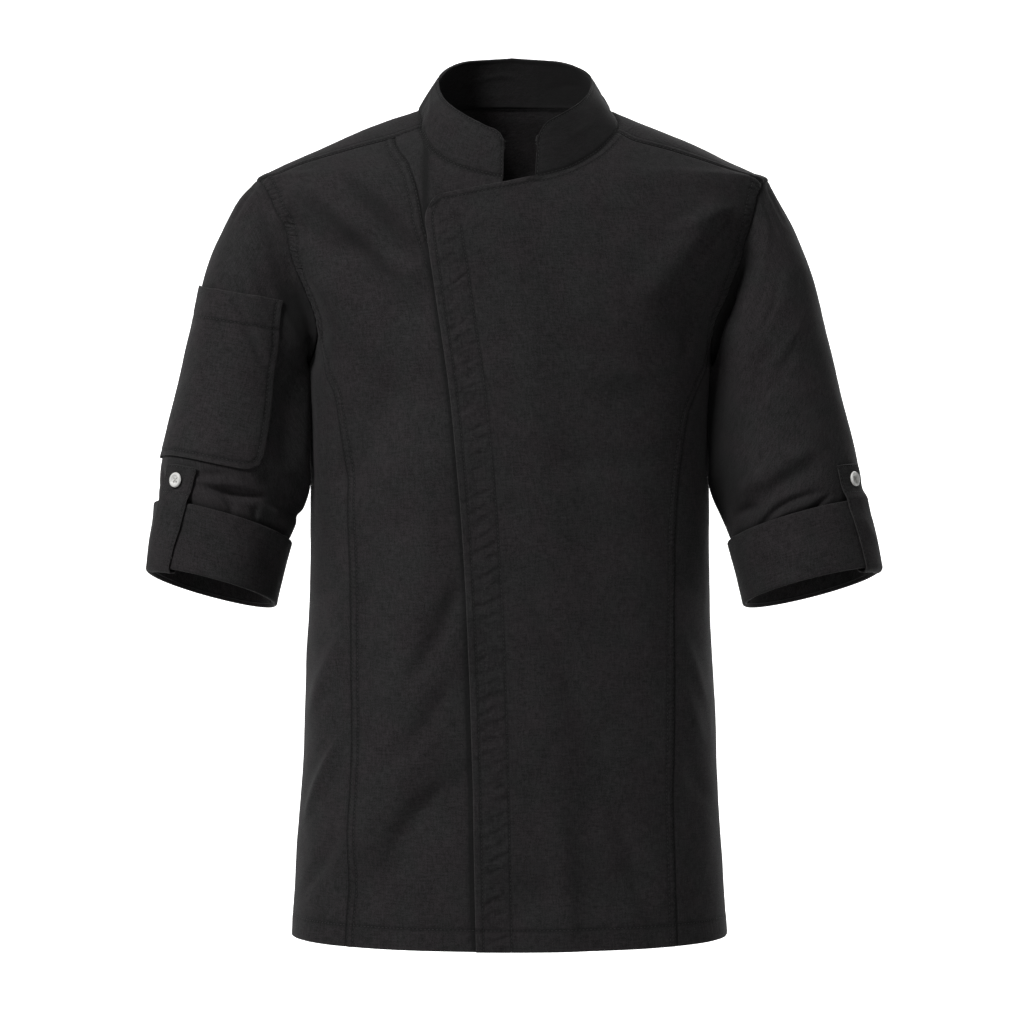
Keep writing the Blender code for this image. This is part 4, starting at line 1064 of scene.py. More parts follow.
# %% The collar's form
COLLAR_HALF_WIDTH = {"right": 0.0665, "left": 0.0720}
COLLAR_DEPTH = {"front": 0.084, "back": 0.064}
COLLAR_CORNER, COLLAR_BOW, COLLAR_WALL = 0.014, 0.0012, 0.0022
COLLAR_TOP_SHIFT_LEFT, NECK_RADIUS = -4.4, 0.092
COLLAR_TUCK = 0.0016
COLLAR_EDGE = Table("turn z", rows("""
0 -27.5; 10 -26.5; 23 -18.6; 37 -9; 56 3.5; 81 20.5; 102 34; 128 47; 145 52; 180 56
""", [1, MM]))
COLLAR_EDGE_ROW, COLLAR_NECK_ROW = 1.9 * MM, 2.2 * MM

# Its creases: turns and shares of its height, then half width and height. On its map a hundred
# degrees count as one.
COLLAR_CREASES = rows("""
150 .55 172 .8 192 .52 .05 -.7; 60 .3 72 .62 88 .72 .06 .5; 28 .65 40 .45 55 .5 .06 -.5;
300 .45 316 .62 332 .5 .07 .5; 250 .4 268 .6 285 .55 .06 -.5; 205 .35 225 .6 240 .55 .06 .5
""", [0.01, 1] * 3 + [1, MM])


def collar_form(turn, up):
    """The stand collar, by the turn round the neck and the share of its height."""
    turn, up = np.broadcast_arrays(np.asarray(turn, float), np.asarray(up, float))
    place = neck_place(turn)
    base = body(place[..., 0], place[..., 1])
    top_turn = turn + COLLAR_TOP_SHIFT_LEFT * smooth_step(turn, 300, COLLAR_END["left"])
    angle = np.radians(top_turn)
    across = np.where(np.sin(angle) > 0, COLLAR_HALF_WIDTH["right"], COLLAR_HALF_WIDTH["left"])
    deep = np.where(np.cos(angle) > 0, COLLAR_DEPTH["front"], COLLAR_DEPTH["back"])
    radius = ((np.sin(angle) / across) ** 2 + (np.cos(angle) / deep) ** 2) ** -0.5
    top = from_front(angle, radius, COLLAR_EDGE("z", 180 - np.abs(top_turn - 180)))
    from_end = NECK_RADIUS * np.radians(np.minimum(turn - COLLAR_END["right"], COLLAR_END["left"] - turn))
    near = COLLAR_CORNER - np.clip(from_end, 0, COLLAR_CORNER)
    drop = COLLAR_CORNER - np.sqrt(COLLAR_CORNER**2 - near**2)
    rise = top - base
    height = np.linalg.norm(rise, axis=-1)
    share = up * (1 - drop / height) - (1 - up) * COLLAR_TUCK / height
    flat = rise * (1, 1, 0)
    bow = -flat / np.linalg.norm(flat, axis=-1, keepdims=True) * COLLAR_BOW
    return base + rise * share[..., None] + bow * np.sin(np.pi * share)[..., None]


def collar_cloth(places):
    turn, up = places[..., 0], places[..., 1]
    smooth = collar_form(turn, up)
    seen = np.stack([turn / 100, up], axis=-1)
    height = ripple(smooth, 21, 0.050, 0.16 * MM) + sum(crease(seen, fold) for fold in COLLAR_CREASES)
    return smooth, outward(collar_form, turn, up), height


def collar_shade(places, smooth):
    """Painted shade on the collar: a little over all of it, more on the wearer's left and more at the back."""
    to_left, to_back = smooth_step(smooth[..., 0], -0.02, 0.05), smooth_step(smooth[..., 1], -0.02, 0.02)
    return 0.18 + 0.55 * to_left + 0.3 * to_back


# %% Cut the collar
def collar():
    right, left = COLLAR_END["right"], COLLAR_END["left"]
    lower, upper = (level(right, left, height, 30) for height in (0, 1))
    first, last = (straight((end, 0), (end, 1), 4) for end in (right, left))
    seams = [
        Seam("upper", upper, (COLLAR_EDGE_ROW,), pucker=0.10 * MM, **FREE),
        Seam("lower", lower, (COLLAR_NECK_ROW,), pucker=0.12 * MM),
        Seam("first", first, (COLLAR_EDGE_ROW,), **FREE),
        Seam("last", last, (COLLAR_EDGE_ROW,), **FREE),
    ]
    cut = Cut(lower, upper, first, last)
    steps = 2.4 * MM, 2.2 * MM
    sew(Piece("collar", cut, collar_cloth, seams, steps, seed=15, under=collar_shade), COLLAR_WALL)


collar()

# %% [markdown]
# ## Sleeves
#
# Each sleeve is a tube of tilted rings from the armhole down to the rolled cuff. Its head is led
# into the armhole's line, with a few small pleats where the cloth is eased in. The longest folds
# start where the roll of the cuff grips the sleeve and run up round the arm.

# %% The sleeves' form: the way down as a share, lengths in millimetres, the lean in degrees
ARM = Table(
    "down right_outer left_outer outer_z right_inner left_inner inner_z middle_y half_depth lean", rows("""
0 230.5 231 -64 184 180 -232 1 60 0; .07 247 240.5 -82 185 181 -236 0 62 0;
.15 263 256.3 -114 185.2 181.2 -241 -1 64 1; .25 276.5 269.8 -152 185.2 181.2 -250 -3 65 3;
.38 286.5 281.8 -202 185.2 181.2 -267 -7 65 5; .52 297.5 293.5 -252 185.2 181.2 -293 -12 65 7;
.65 308.5 304.2 -299 186.2 182.2 -333 -18 65 8.5; .75 314 310 -330 193 189 -363 -23 63 9.5;
.83 315 312.5 -357 200 196 -389 -27 61 10; .92 318.5 319 -387 207 203 -416 -31 61 10.3;
1 321.5 323.5 -415.5 213 209 -443.5 -35 61 10.5
""", [1] + [MM] * 8 + [1]))
SLEEVE_ROUNDNESS, ARM_RADIUS, ARM_LENGTH = 2.1, 0.063, 0.330
SLEEVE_HEAD_LIFT, SLEEVE_HEAD_SCALE, SLEEVE_HEAD_FADE = -0.0006, 1.006, 0.22
SLEEVE_END, CUFF_TOP, RING_STEP = 0.992, 0.825, 0.02
SLEEVE_SEAM_TURN = 196.0

# Where a sleeve is pressed towards the side of the body, and how deep and how far from the seam the
# hollow at the armpit is.
PRESSED_TURN, PRESSED_SWING, PRESSED_HALF_WIDTH = 163.0, 18, 0.0135
PRESSED_TO = {"right": (0.86, 0.62), "left": (0.84, 0.62)}
PRESSED = {"right": 8.8 * MM, "left": 9.4 * MM}
HOLLOW = {"right": (5 * MM, 12 * MM), "left": (12 * MM, 9 * MM)}
# SHADED: where painted shade in the armpit begins and is full, as turns, and how far down it reaches, as a
# share.
SHADED = {"right": (86, 112, 0.115), "left": (70, 100, 0.060)}

# Folds of a sleeve: turns and shares of the way down, then half width and height.
UNROLLED = [np.radians(1) * ARM_RADIUS, ARM_LENGTH]
ON_ARM = UNROLLED * 3 + [MM, MM]
# A line below the head of the right sleeve where painted shade darkens it: turns and shares of the way down,
# then half width and strength.
HEAD_TROUGH_SHADE = rows("28 .03 80 .078 132 .09 7 .55", UNROLLED * 3 + [MM, 1])[0]
SLEEVE_FOLDS = {
    "right": rows("""
126 .705 160 .745 9 -3.5; 92 .745 125 .78 8 2.5; 137 .35 137 .62 12 -3; 250 .69 320 .74 10 -3.5
""", UNROLLED * 2 + [MM, MM]),
    "left": rows("""
80 .72 140 .78 9 -3.5; 80 .67 130 .715 9 2.8; 100 .35 125 .6 12 -2.4; 240 .7 310 .74 10 -3.5
""", UNROLLED * 2 + [MM, MM]),
}
SLEEVE_CREASES = {
    "right": rows("""
34 .045 80 .08 124 .085 8 -1; 30 .1 74 .15 110 .17 6 1.6; 352 .01 350 .05 346 .115 3 -1.1;
2 .01 4 .06 2 .14 3.2 -1.3; 13 .01 20 .06 26 .125 3 -1.3; 24 .012 36 .06 46 .11 3 -1.1;
70 .2 96 .26 112 .38 8 -1.8; 64 .752 82 .735 98 .718 3.2 -1.4; 66 .768 88 .757 112 .735 2.6 .9;
76 .774 100 .78 130 .745 3.4 -2.4; 88 .78 101 .785 103 .828 2.6 -1.7; 79 .79 94 .792 97 .828 2.6 .9;
122 .778 117 .8 126 .826 2.6 -1.2; 129 .788 140 .782 152 .796 4.6 .7; 124 .818 142 .824 164 .812 3.2 -1.3;
20 .735 30 .77 24 .815 5 -.9; 330 .7 345 .74 2 .78 5 -1.3; 300 .3 285 .42 290 .56 9 -1.8;
320 .12 300 .22 265 .29 7 1.6; 215 .74 240 .775 275 .77 3.6 -1.6
""", ON_ARM),
    "left": rows("""
40 .06 80 .12 112 .17 6 1.6; 350 .01 348 .05 344 .11 3 -1.1; 1 .01 3 .06 2 .12 3 -1.2;
12 .01 19 .06 25 .12 3 -1.2; 26 .012 40 .07 48 .13 3.5 -1.3; 60 .15 78 .2 100 .25 6 -1.5;
66 .36 88 .43 112 .5 8 -1.8; 50 .3 72 .36 100 .39 8 1.3; 72 .792 106 .776 136 .845 3.4 -2.1;
80 .815 104 .806 124 .838 3.6 1; 64 .8 80 .822 94 .85 3 -1.7; 122 .786 136 .772 154 .776 4.5 -1.3;
90 .7 104 .72 126 .73 6 .6; 20 .74 12 .775 18 .815 5 -.9; 300 .26 285 .38 290 .54 9 -1.8;
322 .11 300 .21 268 .29 7 1.6; 215 .745 240 .78 280 .765 3.6 -1.6
""", ON_ARM),
}
LOW_CREASES, LOW_CREASES_DEEPER = 0.6 * ARM_LENGTH, 2.2


def unrolled(turn, down):
    """Places of a sleeve laid out flat, in metres."""
    return np.stack([np.radians(np.mod(turn, 360)) * ARM_RADIUS, down * ARM_LENGTH], axis=-1)


def signed_power(value, power):
    return np.sign(value) * np.abs(value) ** power


def arm_ring(side, turn, down):
    """A ring of the arm's form before the folds, and past its end on the same lines."""
    turn, down = np.broadcast_arrays(np.asarray(turn, float), np.asarray(down, float))
    past = np.maximum(down - 1, 0)
    if past.any():
        end = arm_ring(side, turn, np.minimum(down, 1))
        before = arm_ring(side, turn, np.minimum(down, 1) - RING_STEP)
        return end + (end - before) * (past / RING_STEP)[..., None]
    angle = np.radians(turn)
    across = signed_power(np.cos(angle), 2 / SLEEVE_ROUNDNESS)
    deep = signed_power(np.sin(angle), 2 / SLEEVE_ROUNDNESS) * ARM("half_depth", down)
    lean = np.radians(ARM("lean", down))
    outer, inner = ARM(side + "_outer", down), ARM(side + "_inner", down)
    outer_z, inner_z = ARM("outer_z", down), ARM("inner_z", down)
    from_middle = (outer + inner) / 2 + (outer - inner) / 2 * across
    y = ARM("middle_y", down) - deep * np.cos(lean)
    z = (outer_z + inner_z) / 2 + (outer_z - inner_z) / 2 * across + deep * np.sin(lean)
    return np.stack([-from_middle if side == "right" else from_middle, y, z], axis=-1)


def arm_form(side, turn, down):
    """The arm's rings, led at the head of the sleeve into the armhole's true line."""
    turn, down = np.broadcast_arrays(np.asarray(turn, float), np.asarray(down, float))
    smooth, normal, height = torso_form(armhole_place(side, turn, SLEEVE_HEAD_SCALE))
    armhole_points = smooth + normal * (height + SLEEVE_HEAD_LIFT)[..., None]
    led = smooth_step(-down, -SLEEVE_HEAD_FADE, 0)[..., None]
    return arm_ring(side, turn, down) + (armhole_points - arm_ring(side, turn, 0)) * led


def armpit_hollow(side, turn, down):
    """1 where the sleeve is sucked in deepest below the armpit, less around it."""
    around = np.mod(turn, 360)
    from_head = down * ARM_LENGTH / HOLLOW[side][1]
    hollow = smooth_step(around, 62, 118) * smooth_step(-around, -182, -150)
    return hollow * (from_head * np.exp(1 - from_head)) ** 2


def arm_height(side, turn, down, smooth):
    """How far the folds and creases move each point of a sleeve outward."""
    height = ripple(smooth, 31, 0.090, 0.30 * MM) + ripple(smooth, 32, 0.026, 0.07 * MM)
    seen = unrolled(turn, down)
    aside = seen[..., 0] - UNROLLED[0] * (PRESSED_TURN + PRESSED_SWING * smooth_step(down, 0.60, 0.75))
    low, high = PRESSED_TO[side]
    reach = smooth_step(down, 0.03, 0.17) * smooth_step(-down, -low, -high)
    height += PRESSED[side] * reach * bell(aside, PRESSED_HALF_WIDTH)
    height -= HOLLOW[side][0] * armpit_hollow(side, turn, down)
    height += sum(ridge(seen, fold) for fold in SLEEVE_FOLDS[side])
    for fold in SLEEVE_CREASES[side]:
        height += crease(seen, fold, LOW_CREASES_DEEPER if fold[1] > LOW_CREASES else 1.0)
    around = np.radians(turn)
    grip = 0.7 + 0.3 * np.sin(around * 5 + 1.0) * np.sin(around * 3)
    return height - 2.6 * MM * grip * bell((down - CUFF_TOP - 0.008) * ARM_LENGTH, 4.5 * MM)


def sleeve_form(side):
    """The form of one sleeve, for places of a turn and a share of the way down."""

    def form(places):
        turn, down = places[..., 0], places[..., 1]
        smooth = arm_form(side, turn, down)
        normal = outward(lambda first, second: arm_ring(side, first, second), turn, down)
        normal = normal if side == "right" else -normal
        return smooth, normal, arm_height(side, turn, down, smooth)

    return form


# %% Cut the sleeves
def sleeve(side):
    start, end = SLEEVE_SEAM_TURN, SLEEVE_SEAM_TURN + 360
    head, foot = (level(start, end, down, 23) for down in (0, SLEEVE_END))
    first, last = (straight((turn, 0), (turn, SLEEVE_END), 15) for turn in (start, end))
    seams = [
        Seam("lower", head),
        Seam("upper", foot, dip=0.0),
        Seam("first", first, (1.5 * MM, 7.0 * MM), lift=0.4 * MM, pucker=0.2 * MM),
    ]

    # Painted shade on the sleeve: deep in the armpit, in the crevice above the cuff and, on the right sleeve,
    # along a line below the head; on the left sleeve also on the side that faces the body.
    def shade(places, smooth):
        around, down = np.mod(places[..., 0], 360), places[..., 1]
        first, full, reach = SHADED[side]
        armpit = smooth_step(around, first, full) * smooth_step(-around, -192, -168)
        dark = 1.5 * armpit * np.exp(-((down / reach) ** 4)) + 0.7 * bell(down - CUFF_TOP, 0.012)
        if side == "right":
            return dark + crease(unrolled(around, down), HEAD_TROUGH_SHADE)
        beside_body = smooth_step(around, 116, 164) * smooth_step(-around, -205, -190)
        return dark + 1.1 * beside_body * smooth_step(down, 0.10, 0.40) * smooth_step(-down, -0.84, -0.72)

    cut = Cut(head, foot, first, last)
    steps = (3.2 * MM, 2.0 * MM)
    sew(Piece("sleeve_" + side, cut, sleeve_form(side), seams, steps, closed=True, seed=17, under=shade), CLOTH)


for side in BOTH:
    sleeve(side)

# %% [markdown]
# ## Rolled cuffs
#
# The sleeve is turned up twice, so the cuff is a thick soft band, round at its top and bottom folds.
# Its section is a loop of places, each a distance down the sleeve and a distance out from it, and the
# grid carries that loop round the arm.

# %% Make the cuffs
CUFF_WALL, CUFF_CLEARANCE = 0.0034, 0.0005
CUFF_COLUMNS = 190
CUFF_CREASES = {
    "right": rows("""
40 .86 70 .9 96 .98 9 -.9; 84 .84 112 .9 140 .95 8 .9; 120 .86 140 .88 160 .96 7 -.8;
240 .86 270 .92 300 .97 9 .9
""", ON_ARM),
    "left": rows("""
60 .97 86 .9 110 .86 9 -.9; 92 .98 118 .92 142 .86 8 .9; 20 .94 36 .9 52 .86 7 .7;
240 .95 270 .9 300 .86 9 .9
""", ON_ARM),
}


def half_round(middle, radius, start, end, faces):
    """Places on an arc, each a distance down the sleeve and a distance out from it."""
    angle = np.radians(np.linspace(start, end, faces + 1))
    return np.column_stack([middle[0] + radius * np.sin(angle), middle[1] + radius * np.cos(angle)])


def between(start, end, faces):
    """Places on a straight line between two, without its ends."""
    part = np.linspace(0, 1, faces + 1)[1:-1, None]
    return (1 - part) * start + part * end


def cuff_folds(side, turn, down):
    """The solids' own folds, with the cuff's soft diagonal ones."""
    seen = unrolled(turn, down)
    return sum(ridge(seen, fold) for fold in SLEEVE_FOLDS[side]) + sum(
        crease(seen, fold, 1.6) for fold in CUFF_CREASES[side])


def cuff(side):
    name = "cuff_" + side
    half = CUFF_WALL / 2
    out = CUFF_CLEARANCE + half
    top = half_round((CUFF_TOP * ARM_LENGTH + half, out), half, -180, 0, 10)
    foot = half_round((ARM_LENGTH - half, out), half, 0, 180, 10)
    loop = np.vstack([top, between(top[-1], foot[0], 20), foot, between(foot[-1], top[0], 14), top[:1]])
    turn, down = np.meshgrid(np.linspace(200, 560, CUFF_COLUMNS + 1), loop[:, 0] / ARM_LENGTH)
    smooth, normal, _ = sleeve_form(side)(np.stack([turn, down], axis=-1))
    height = cuff_folds(side, turn, down) + loop[:, 1:] + ripple(smooth, 33, 0.06, 0.22 * MM)
    points = smooth + normal * height[..., None]
    rim = np.abs(loop[:, 0] - np.clip(loop[:, 0], top[-1, 0], foot[0, 0]))[:, None] / half
    # The folds at the cuff's top and foot are painted lighter, partly for wear and partly as a painted rim
    # highlight.
    marks = {"wear": np.broadcast_to(0.40 * rim**6, turn.shape).copy()}
    data = grid_mesh(name, points, charted(points), marks, False, points - points.mean(axis=(0, 1)))
    band = bmesh.new()
    band.from_mesh(data)
    bmesh.ops.remove_doubles(band, verts=band.verts[:], dist=0.00001)
    bmesh.ops.recalc_face_normals(band, faces=band.faces[:])
    band.to_mesh(data)
    band.free()
    data.shade_smooth()
    add_object(name + "_cloth", data, name)
    print(name, "net", points.shape[:2])


for side in BOTH:
    cuff(side)

# %% [markdown]
# ## Pocket and tabs
#
# The patch pocket and the two tabs lie on the sleeves, so they are cut on the sleeves' own form and
# moved out by their clearance. They then follow every fold under them, as sewn-on pieces do.

# %% The sleeve pocket: its four edges, as turns and shares of the way down
POCKET_CLEARANCE = 0.0009
POCKET_TOP = rows("-12 .272; 28 .268; 56 .238; 74.5 .195; 89 .14; 99 .095", 1)
POCKET_FOOT = rows("-9 .69; 2 .701; 40 .703; 72 .705; 100 .699; 108.5 .69; 114.5 .672", 1)
POCKET_BACK = rows("-9 .69; -12 .66; -12 .272", 1)
POCKET_FRONT = rows("114.5 .672; 117 .645; 118.5 .598; 120 .497; 119 .357; 119.5 .225; 99 .095", 1)
POCKET_FACES, POCKET_COLUMNS = 12, 10
POCKET_HEM_ROW, POCKET_ROW = 26.5 * MM, 5.6 * MM


def pocket_raise(places, smooth):
    return np.full(places.shape[:-1], POCKET_CLEARANCE + CLOTH)


def pocket():
    foot, top = (curve_through(line, POCKET_FACES) for line in (POCKET_FOOT, POCKET_TOP))
    behind, front = (curve_through(line, POCKET_COLUMNS) for line in (POCKET_BACK, POCKET_FRONT))
    seams = [
        Seam("lower", foot, (POCKET_ROW,), pucker=0.15 * MM, **FREE),
        Seam("upper", top, (POCKET_HEM_ROW,), lift=0.25 * MM, pucker=0.16 * MM, **FREE),
        Seam("first", behind, (POCKET_ROW,), pucker=0.14 * MM, **FREE),
        Seam("last", front, (POCKET_ROW,), pucker=0.20 * MM, **FREE),
    ]
    cut = Cut(foot, top, behind, front)
    form, steps = sleeve_form("right"), (2.0 * MM, 2.0 * MM)
    sew(Piece("sleeve_pocket", cut, form, seams, steps, pocket_raise, seed=19), CLOTH)


pocket()

# %% The tabs, from the buttoned end over the cuff and round under its foot
TAB_WIDTH, TAB_WALL, TAB_CLEARANCE, TAB_INNER_CLEARANCE = 0.036, 0.0018, 0.0006, 0.0014
TAB_TOP, TAB_INNER_END, TAB_FOOT_RISE = 0.728, 0.930, 0.0022
TAB_CLIMB, TAB_EASE = 0.010, 0.0004
TAB_TURNS = {"right": (53.5, 42.5), "left": (39.5, 31.0)}
TAB_ROW, TAB_BOX, TAB_ROW_WIDTH = 1.9 * MM, 24.5 * MM, 0.7 * MM
TAB_SEWN_TO = TAB_BOX * 3.6
TAB_EDGE_LINES = np.array([0, 0.5, 1.1, 1.9, 2.7]) * MM


def tab_route():
    """The tab's outer face, as distances down the sleeve and out from it."""
    over_sleeve = TAB_CLEARANCE + TAB_WALL
    over_cuff = CUFF_CLEARANCE + CUFF_WALL + over_sleeve
    inside = -(CLOTH + TAB_INNER_CLEARANCE + TAB_WALL)
    cuff_top = CUFF_TOP * ARM_LENGTH
    radius = (over_cuff - inside) / 2
    middle = (ARM_LENGTH - TAB_FOOT_RISE, (over_cuff + inside) / 2)
    climbed = cuff_top - 0.001
    rise = [
        (TAB_TOP * ARM_LENGTH, over_sleeve),
        ((TAB_TOP * ARM_LENGTH + cuff_top) / 2, over_sleeve),
        (climbed - TAB_CLIMB, over_sleeve + TAB_EASE),
        (climbed - TAB_CLIMB / 2, (over_sleeve + over_cuff) / 2 + TAB_EASE),
        (climbed, over_cuff),
        ((cuff_top + ARM_LENGTH) / 2, over_cuff),
    ]
    foot = half_round(middle, radius, 0, 180, 16)
    return np.vstack([rise, foot, [(TAB_INNER_END * ARM_LENGTH, inside)]])


def tab_turn(side, down):
    """The turn of the tab's middle line at this share of the way down."""
    first, last = TAB_TURNS[side]
    return first + (last - first) * np.clip((down - TAB_TOP) / (1 - TAB_TOP), 0, 1)


def tab(side):
    name = "tab_" + side
    route = tab_route()
    run = lengths(route, 0)
    across = np.array([0, 0.5, 1.1, 1.9, 2.7, *np.linspace(3.6, 32.4, 20), 33.3, 34.1, 34.9, 35.5, 36.0]) * MM
    inner = np.arange(4 * MM, run[-1] - 2 * MM, 1.4 * MM)
    along = np.unique(np.concatenate([TAB_EDGE_LINES, inner, run[-1] - TAB_EDGE_LINES]))
    smooth_route = Table("run down out", np.column_stack([run, route]))
    down = smooth_route("down", along)[:, None] / ARM_LENGTH
    out = smooth_route("out", along)[:, None]
    turn = tab_turn(side, down) + np.degrees((across[None] - TAB_WIDTH / 2) / ARM_RADIUS)
    down = np.broadcast_to(down, turn.shape)
    smooth, normal, _ = sleeve_form(side)(np.stack([turn, down], axis=-1))
    from_side = np.minimum(across, TAB_WIDTH - across)[None]
    from_end = np.minimum(along, run[-1] - along)[:, None]
    from_edge = np.clip(np.minimum(from_side, from_end), 0, None)
    row = bell(from_side - TAB_ROW, TAB_ROW_WIDTH)
    box = np.maximum(*(bell(along[:, None] - distance, TAB_ROW_WIDTH) for distance in (TAB_ROW, TAB_BOX)))
    groove = -0.22 * MM * np.maximum(row, box)
    height = cuff_folds(side, turn, down) + out + rolled(from_edge, 0.6 * MM) + groove
    height = height + ripple(smooth, 41, 0.03, 0.15 * MM)
    points = smooth + normal * height[..., None]
    sewn = np.maximum(row * (along[:, None] < TAB_SEWN_TO), box)
    # The tab's edges are painted lighter, partly for wear and partly as a painted rim highlight, and its sewn
    # rows darker, as painted shade in their grooves.
    marks = {"wear": 0.3 * bell(from_edge, 0.8 * MM) - 0.9 * sewn}
    facing = facing_of(points)
    facing *= np.sign((facing[:10] * normal[:10]).sum())
    add_cloth(name, grid_mesh(name, points, charted(points), marks, False, facing), TAB_WALL)
    columns = [int(np.abs(across - place).argmin()) for place in (TAB_ROW, TAB_WIDTH - TAB_ROW)]
    over = along < TAB_SEWN_TO
    for column in columns:
        stitch(name, points[over, column], facing[over, column])
    for distance in (TAB_ROW, TAB_BOX):
        line = int(np.abs(along - distance).argmin()), slice(columns[0], columns[1] + 1)
        stitch(name, points[line], facing[line])


for side in BOTH:
    tab(side)

# %% [markdown]
# ## Buttons
#
# A shirt button is turned from resin: a rolled rim round a shallow well, with four holes for the
# thread. Spinning half a section makes the disc, and small drills cut the holes with a Boolean.

# %% Turn the buttons. The profile is in shares of the radius and the height.
BUTTON_DOWN, BUTTON_RADIUS, BUTTON_HEIGHT, BUTTON_CLEARANCE = 0.770, 0.00665, 0.0030, 0.0002
BUTTON_PROFILE = rows("""
0 .56; .46 .56; .56 .66; .64 .92; .72 1; .86 .98; .96 .8; 1 .5; .95 .24; .84 .06; .62 0; 0 0
""", 1)
HOLE_RADIUS, HOLE_SPREAD = 0.00085, 0.0016
BUTTON_STITCH = 4.4 * MM


def button_disc():
    disc = bmesh.new()
    points = [disc.verts.new((x * BUTTON_RADIUS, 0, z * BUTTON_HEIGHT)) for x, z in BUTTON_PROFILE]
    edges = [disc.edges.new(pair) for pair in zip(points, points[1:])]
    bmesh.ops.spin(disc, geom=points + edges, cent=(0, 0, 0), axis=(0, 0, 1), dvec=(0, 0, 0),
                   angle=2 * np.pi, steps=56, use_merge=True, use_duplicate=False)
    bmesh.ops.remove_doubles(disc, verts=disc.verts[:], dist=0.000002)
    bmesh.ops.recalc_face_normals(disc, faces=disc.faces[:])
    return disc


def mesh_object(name, shape):
    """A plain object from a bmesh, in the scene."""
    data = bpy.data.meshes.new(name)
    shape.to_mesh(data)
    shape.free()
    made = bpy.data.objects.new(name, data)
    bpy.context.scene.collection.objects.link(made)
    return made


def drilled_button(name):
    """A button with four holes, as a mesh round its own middle."""
    blank = mesh_object("blank", button_disc())
    drills = bmesh.new()
    for x, y in ((1, 1), (-1, 1), (-1, -1), (1, -1)):
        made = bmesh.ops.create_cone(drills, cap_ends=True, segments=16, radius1=HOLE_RADIUS,
                                     radius2=HOLE_RADIUS, depth=0.008)
        bmesh.ops.translate(drills, verts=made["verts"], vec=(x * HOLE_SPREAD, y * HOLE_SPREAD, 0))
    drill = mesh_object("drills", drills)
    cutter = blank.modifiers.new("holes", "BOOLEAN")
    cutter.operation, cutter.solver, cutter.object = "DIFFERENCE", "EXACT", drill
    bpy.context.view_layer.update()
    drilled = bpy.data.meshes.new_from_object(blank.evaluated_get(bpy.context.evaluated_depsgraph_get()))
    for made in (blank, drill):
        bpy.data.objects.remove(made, do_unlink=True)
    drilled.name = name
    return drilled


def add_button(side):
    name = "button_" + side
    turn = tab_turn(side, BUTTON_DOWN)
    smooth, normal, _ = sleeve_form(side)(np.array([[turn, BUTTON_DOWN]]))
    height = cuff_folds(side, np.array([turn]), np.array([BUTTON_DOWN]))
    height = height + TAB_CLEARANCE + TAB_WALL + BUTTON_CLEARANCE
    turned = Vector(normal[0]).to_track_quat("Z", "Y").to_matrix().to_4x4()
    turned.translation = Vector((smooth + normal * height[:, None])[0])
    data = drilled_button(name)
    data.transform(turned)
    data.shade_smooth()
    data.set_sharp_from_angle(angle=np.radians(38))
    add_object(name + "_disc", data, name)
    up = np.array(turned.col[2])[:3]
    for ends in (((-1, -1), (1, 1)), ((-1, 1), (1, -1))):
        low, high = (np.array(turned @ Vector((x * HOLE_SPREAD, y * HOLE_SPREAD, 0.0021))) for x, y in ends)
        stitch(name, np.linspace(low, high, 5), np.tile(up, (5, 1)), pitch=BUTTON_STITCH)
    print(name, "at", [round(value, 4) for value in turned.translation])


for side in BOTH:
    add_button(side)

# %% Join the thread of each piece
for name in list(threads):
    add_threads(name, BUTTON_STITCH if name.startswith("button") else STITCH)

# %% [markdown]
# ## Finishes
#
# Near-black twill is never flat black. Light catches its diagonal ribs, and their crests are painted
# lighter in the colour too, a painted highlight. It fades along worn edges, which are painted lighter,
# partly for wear and partly as a painted rim highlight, while seams, rows, creases and crevices are
# painted darker as painted shade. Dust and washing leave it mottled. A small class lets the shader's
# sums be written as plain expressions, and one method adds any other node.

# %% Write shader sums as expressions
class Value:
    """A shader socket that can be added to, multiplied and so on."""

    def __init__(self, finish, socket):
        self.finish, self.socket = finish, socket

    def sum(self, operation, *values):
        return self.finish.node("Math", {"operation": operation}, dict(enumerate(values)))["Value"]

    def __add__(self, other):
        return self.sum("ADD", self, other)

    def __sub__(self, other):
        return self.sum("SUBTRACT", self, other)

    def __rsub__(self, other):
        return self.sum("SUBTRACT", other, self)

    def __mul__(self, other):
        return self.sum("MULTIPLY", self, other)

    def __pow__(self, other):
        return self.sum("POWER", self, other)

    def wave(self, period=1.0):
        """A wave from 0 to 1, with this period."""
        return self.sum("SINE", self * (2 * np.pi / period)) * 0.5 + 0.5

    def clamp(self):
        return self.finish.node("Clamp", {}, {"Value": self})["Result"]


